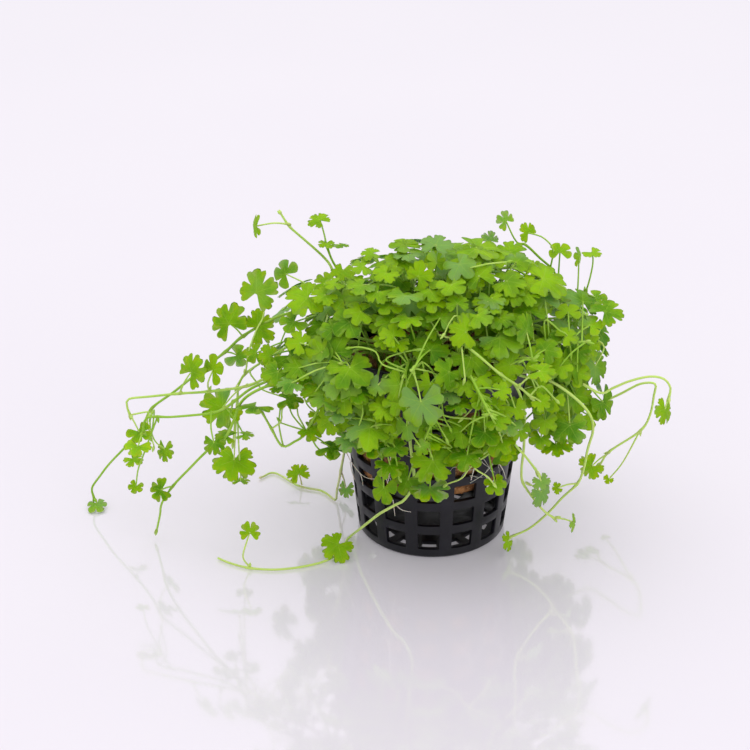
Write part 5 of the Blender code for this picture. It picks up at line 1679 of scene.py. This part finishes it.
@dataclass
class Roots:
    """Thin cream roots that leave the windows and cling to the basket, with rootlets."""
    girth: float = 0.26 * MM
    tip: float = 0.4
    rootlets: int = 7
    rootlet_girth: float = 0.09 * MM
    wall_girth: float = 0.15 * MM
    window_row: int = 4
    seed: int = 8

    def path(self, column: int, length: float) -> list[Vector]:
        """A root's route from the plug, out through a window and down the basket."""
        angle = -math.pi / 2 + POT.turn + (column - 2) * 2 * math.pi / POT.columns
        away = Vector((math.cos(angle), math.sin(angle), 0))
        side = Vector((-away.y, away.x, 0))
        low = POT.first_window + POT.window_pitch * self.window_row + POT.window_height / 2
        wall = POT.radius(low)
        inner = wall - POT.wall - POT.plug_gap
        path = [(inner + 0.45 * MM, 0, low), (wall + 1.2 * MM, 0.4 * MM, low - 0.3 * MM),
                (wall + 1.6 * MM, 1.2 * MM, low - length * 0.4 * MM),
                (wall + 1.2 * MM, 0.2 * MM, low - length * MM)]
        points = [away * reach + side * aside + Vector((0, 0, z)) for reach, aside, z in path]
        return smooth_route(points, 0.8 * MM)

    def rootlet(self, start: Vector, dice: random.Random) -> list[Vector]:
        """A fine side root that wanders over the outside of the basket."""
        angle = math.atan2(start.y, start.x)
        height = start.z
        points = [start]
        turn = dice.choice((-1, 1)) * dice.uniform(0.012, 0.045)
        fall = dice.uniform(-0.9, 0.2) * MM
        for _ in range(dice.randint(4, 9)):
            angle += turn
            height += fall
            turn += dice.uniform(-0.02, 0.02)
            fall += dice.uniform(-0.3, 0.2) * MM
            reach = POT.radius(height) + dice.uniform(0.3, 0.9) * MM
            points.append(Vector((math.cos(angle) * reach, math.sin(angle) * reach, height)))
        return smooth_route(points, 0.7 * MM)

    def build(self) -> None:
        """Build each root with its rootlets in place of its plain solid."""
        sketch = LineTree("roots")
        values = {"Stem sides": 6, "Stem finish": RootFinish().make()}
        dice = random.Random(self.seed)
        for name, column, length in ROOT_WINDOWS:
            lines = Lines()
            main = self.path(column, length)
            last = len(main) - 1
            lines.add(main, [self.girth * (1 + (self.tip - 1) * i / last) for i in range(last + 1)])
            for _ in range(self.rootlets):
                fine = self.rootlet(main[dice.randint(2, last - 1)].copy(), dice)
                count = len(fine) - 1
                lines.add(fine, [self.rootlet_girth * (1 - 0.6 * i / count) for i in range(count + 1)])
            for pixels in WALL_ROOTS[name]:
                points = [VIEW.on_wall(u, v, dice.uniform(0.3, 0.8) * MM) for u, v in pixels]
                fine = smooth_route(points, 0.7 * MM)
                count = len(fine) - 1
                lines.add(fine, [self.wall_girth * (1 - 0.6 * i / count) for i in range(count + 1)])
            mesh = plain_mesh(lines.mesh(name + "_lines"), sketch, values, name)
            add_piece("fine_" + name, mesh, "root", name)


class Lines:
    """Lines and leaf points as they are gathered, with what each point needs to know."""

    def __init__(self) -> None:
        self.places: list[Vector] = []
        self.edges: list[tuple[int, int]] = []
        self.facts: dict[str, list[float]] = {
            "girth": [], "pale": [], "size": [], "tone": [], "wax": []}
        self.forms: list[int] = []
        self.leaf_flags: list[bool] = []
        self.turns: list[float] = []

    def add_point(self, place: Vector, form: int = 0, is_leaf: bool = False,
                  turn: Sequence[float] = (0.0, 0.0, 0.0), **facts: float) -> None:
        """Add one point and its facts, which are zero where they aren't given."""
        self.places.append(place)
        for key, values in self.facts.items():
            values.append(facts.get(key, 0.0))
        self.forms.append(form)
        self.leaf_flags.append(is_leaf)
        self.turns.extend(turn)

    def add(self, points: Sequence[Vector], girths: Sequence[float], pale: float = 0.0) -> None:
        """Add a line of points."""
        first = len(self.places)
        self.edges.extend((first + i, first + i + 1) for i in range(len(points) - 1))
        for point, girth in zip(points, girths):
            self.add_point(point, girth=girth, pale=pale)

    def mesh(self, name: str) -> bpy.types.Mesh:
        """The gathered lines as a mesh of edges and loose points."""
        mesh = bpy.data.meshes.new(name)
        mesh.from_pydata(self.places, self.edges, [])
        for key, values in self.facts.items():
            mesh.attributes.new(key, "FLOAT", "POINT").data.foreach_set("value", values)
        mesh.attributes.new("form", "INT", "POINT").data.foreach_set("value", self.forms)
        flags = mesh.attributes.new("is_leaf", "BOOLEAN", "POINT")
        flags.data.foreach_set("value", self.leaf_flags)
        turns = mesh.attributes.new("turn", "FLOAT_VECTOR", "POINT")
        turns.data.foreach_set("vector", self.turns)
        return mesh


@dataclass
class Shoots:
    """All runners and tufts: stems with swollen joints, arched petioles and lobed leaves."""
    stem_girth: float = 0.48 * MM
    stem_tip: float = 0.62
    petiole_girth: float = 0.26 * MM
    petiole_tip: float = 0.78
    joint_swell: float = 0.45
    joint_reach: float = 1.1 * MM
    line_step: float = 1.1 * MM
    tuft_girth: float = 0.40 * MM
    bud_girth: float = 0.42 * MM
    bud_lengths: tuple[float, float] = (1.3 * MM, 2.6 * MM)
    joint_buds: float = 0.45
    large_leaf: float = 9.0 * MM
    large_forms: tuple[int, ...] = (0, 0, 1, 1, 2, 3, 7, 7)
    small_forms: tuple[int, ...] = (0, 1, 2, 3, 4, 5, 6, 7)
    arch: float = 0.07
    table_gap: float = 0.8 * MM
    seed: int = 5

    def line(self, route: Sequence[Vector], girth: float, tip: float,
             joints: Sequence[Vector]) -> tuple[list[Vector], list[float]]:
        """A stem's points and girths, swollen where petioles leave it."""
        points = smooth_route(route, self.line_step)
        girths = []
        for i, point in enumerate(points):
            share = i / max(len(points) - 1, 1)
            near = min(((point - joint).length for joint in joints), default=1.0)
            swell = 1 + self.joint_swell * math.exp(-(near / self.joint_reach) ** 2)
            girths.append(girth * (1 + (tip - 1) * share) * swell)
        return points, girths

    def arched(self, petiole: Sequence[Vector]) -> list[Vector]:
        """A petiole's route with a gentle bow where it is a straight run."""
        if len(petiole) > 2:
            return list(petiole)
        root, joint = petiole[0], petiole[-1]
        run = joint - root
        bow = Vector((0, 0, 1)) - run.normalized() * run.normalized().z
        return [root, root.lerp(joint, 0.5) + bow * run.length * self.arch, joint]

    def bud(self, lines: Lines, place: Vector, heading: Vector, dice: random.Random,
            pale: float) -> None:
        """A small folded bud at a stem's tip or joint."""
        length = dice.uniform(*self.bud_lengths)
        way = (heading.normalized() + Vector([dice.uniform(-0.5, 0.5) for _ in range(3)])).normalized()
        points = [place + way * length * t for t in (0.0, 0.25, 0.55, 0.85, 1.0)]
        if min(point.z for point in points) < TABLE_LIFT:
            return
        lines.add(points, [self.bud_girth * share for share in (0.6, 1.0, 0.95, 0.5, 0.15)], pale)

    def grown(self, blade: Blade, in_crown: bool) -> float:
        """A blade's finished width, which stays as laid out where it would meet the table."""
        wide = blade.size * (TUFT_GROWTH if in_crown else RUNNER_GROWTH)
        lean = math.hypot(blade.axes[0].z, blade.axes[1].z)
        lowest = blade.place.z - wide / 2 * lean
        return wide if lowest > self.table_gap else blade.size

    def base_mesh(self, growth: Growth, dice: random.Random) -> bpy.types.Mesh:
        """A shoot's lines and leaf points, with what each point needs to know."""
        lines = Lines()
        joints = [petiole[0] for petiole in growth.petioles]
        thin = self.tuft_girth if growth.name.startswith("tuft") else self.stem_girth
        points, girths = self.line(growth.route, thin, self.stem_tip, joints)
        lines.add(points, girths, growth.tone.value)
        self.bud(lines, points[-1], points[-1] - points[-3], dice, growth.tone.value + 0.2)
        self.bud(lines, points[-1], points[-1] - points[-3], dice, growth.tone.value)
        for petiole in growth.petioles:
            points, girths = self.line(
                self.arched(petiole), self.petiole_girth, self.petiole_tip, ())
            lines.add(points, girths, growth.tone.value + dice.uniform(-0.1, 0.25))
            if dice.random() < self.joint_buds:
                self.bud(lines, points[0], points[2] - points[0], dice, growth.tone.value)
        for thread in growth.threads:
            points, girths = self.line(thread, self.petiole_girth, self.petiole_tip, ())
            lines.add(points, girths, growth.tone.value + dice.uniform(-0.1, 0.25))
            self.bud(lines, points[-1], points[-1] - points[-2], dice, growth.tone.value)
        for blade in growth.blades:
            wide = self.grown(blade, growth.name.startswith("tuft"))
            young = max(0.0, 1 - blade.size / (9 * MM)) * 0.5
            tone = min(1.0, growth.tone.value * 0.5 + dice.uniform(0.1, 0.6) + young)
            forms = self.large_forms if blade.size > self.large_leaf else self.small_forms
            # Each leaf gets a random share of the painted sheen
            lines.add_point(blade.place, dice.choice(forms), True,
                            tuple(Matrix(blade.axes).transposed().to_euler()), size=wide, tone=tone,
                            wax=dice.random())
        return lines.mesh(growth.name + "_lines")

    def build(self, growths: dict[str, Growth]) -> None:
        """Build every shoot in place of its solid."""
        blade_finish = LeafFinish().make()
        forms = bpy.data.collections.new("leaf_forms")
        for i, form in enumerate(LEAF_FORMS):
            forms.objects.link(form.make(f"leaf_form_{i + 1}", blade_finish))
        sketch = ShootTree()
        values = {"Stem sides": 7, "Leaf forms": forms, "Leaf finish": blade_finish,
                  "Stem finish": StemFinish().make(), "Warp": 1.1 * MM, "Warp scale": 130.0}
        dice = random.Random(self.seed)
        for growth in growths.values():
            base = self.base_mesh(growth, dice)
            mesh = plain_mesh(base, sketch, values, growth.name)
            add_piece("fine_" + growth.name, mesh, "foliage", growth.name)
        for form in list(forms.objects):
            bpy.data.objects.remove(form)
        bpy.data.collections.remove(forms)


@dataclass
class Studio:
    """Pale table, soft lights and the camera at the photograph's angle."""
    floor_size: float = 8.0
    world: float = 0.88
    key_power: float = 5.5
    fill_power: float = 2.6

    def build(self) -> None:
        """Set up the table, the lights and the camera."""
        self.floor()
        self.lights()
        self.camera()

    def floor(self) -> None:
        """A wide plain table top."""
        bm = bmesh.new()
        bmesh.ops.create_grid(bm, x_segments=1, y_segments=1, size=self.floor_size / 2)
        mesh = bpy.data.meshes.new("table_top")
        bm.to_mesh(mesh)
        bm.free()
        mesh.materials.append(FloorFinish().make())
        floor = bpy.data.objects.new("table_top", mesh)
        bpy.context.scene.collection.objects.link(floor)

    def lights(self) -> None:
        """A large soft key from above, a low fill from the front, and a pale sky."""
        world = bpy.data.worlds.new("pale sky")
        world.use_nodes = True
        sky = world.node_tree.nodes["Background"]
        sky.inputs["Color"].default_value = (*srgb(251, 249, 253), 1)
        sky.inputs["Strength"].default_value = self.world
        bpy.context.scene.world = world
        for name, place, size, power in (
                ("key", (-0.16, 0.14, 1.35), 1.6, self.key_power),
                ("fill", (0.75, -0.8, 0.9), 1.1, self.fill_power)):
            lamp = bpy.data.lights.new(name, "AREA")
            lamp.size = size
            lamp.energy = power
            light = bpy.data.objects.new(name, lamp)
            light.location = place
            light.rotation_euler = Vector(place).to_track_quat("Z", "Y").to_euler()
            bpy.context.scene.collection.objects.link(light)

    def camera(self) -> None:
        """The camera that the photograph's pixels were measured for."""
        lens = bpy.data.cameras.new("camera")
        lens.sensor_width = VIEW.sensor
        lens.lens = VIEW.sensor * VIEW.distance / VIEW.width
        lens.clip_start = 0.01
        camera = bpy.data.objects.new("camera", lens)
        camera.location = VIEW.eye
        camera.rotation_euler = VIEW.backwards.to_track_quat("Z", "Y").to_euler()
        bpy.context.scene.collection.objects.link(camera)
        bpy.context.scene.camera = camera
        bpy.context.scene.view_settings.view_transform = "Standard"


def write_sizes() -> None:
    """Bring the scene up to date."""
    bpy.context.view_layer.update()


def main() -> None:
    """Build the plant and its studio."""
    logging.basicConfig(level=logging.INFO, format="%(message)s")
    Studio().build()
    growths = Gardener().grow_all()
    log.info("%d leaves", sum(len(growth.blades) for growth in growths.values()))
    Shoots().build(growths)
    Basket().build()
    Rockwool().build()
    Roots().build()
    write_sizes()


if __name__ == "__main__":
    main()
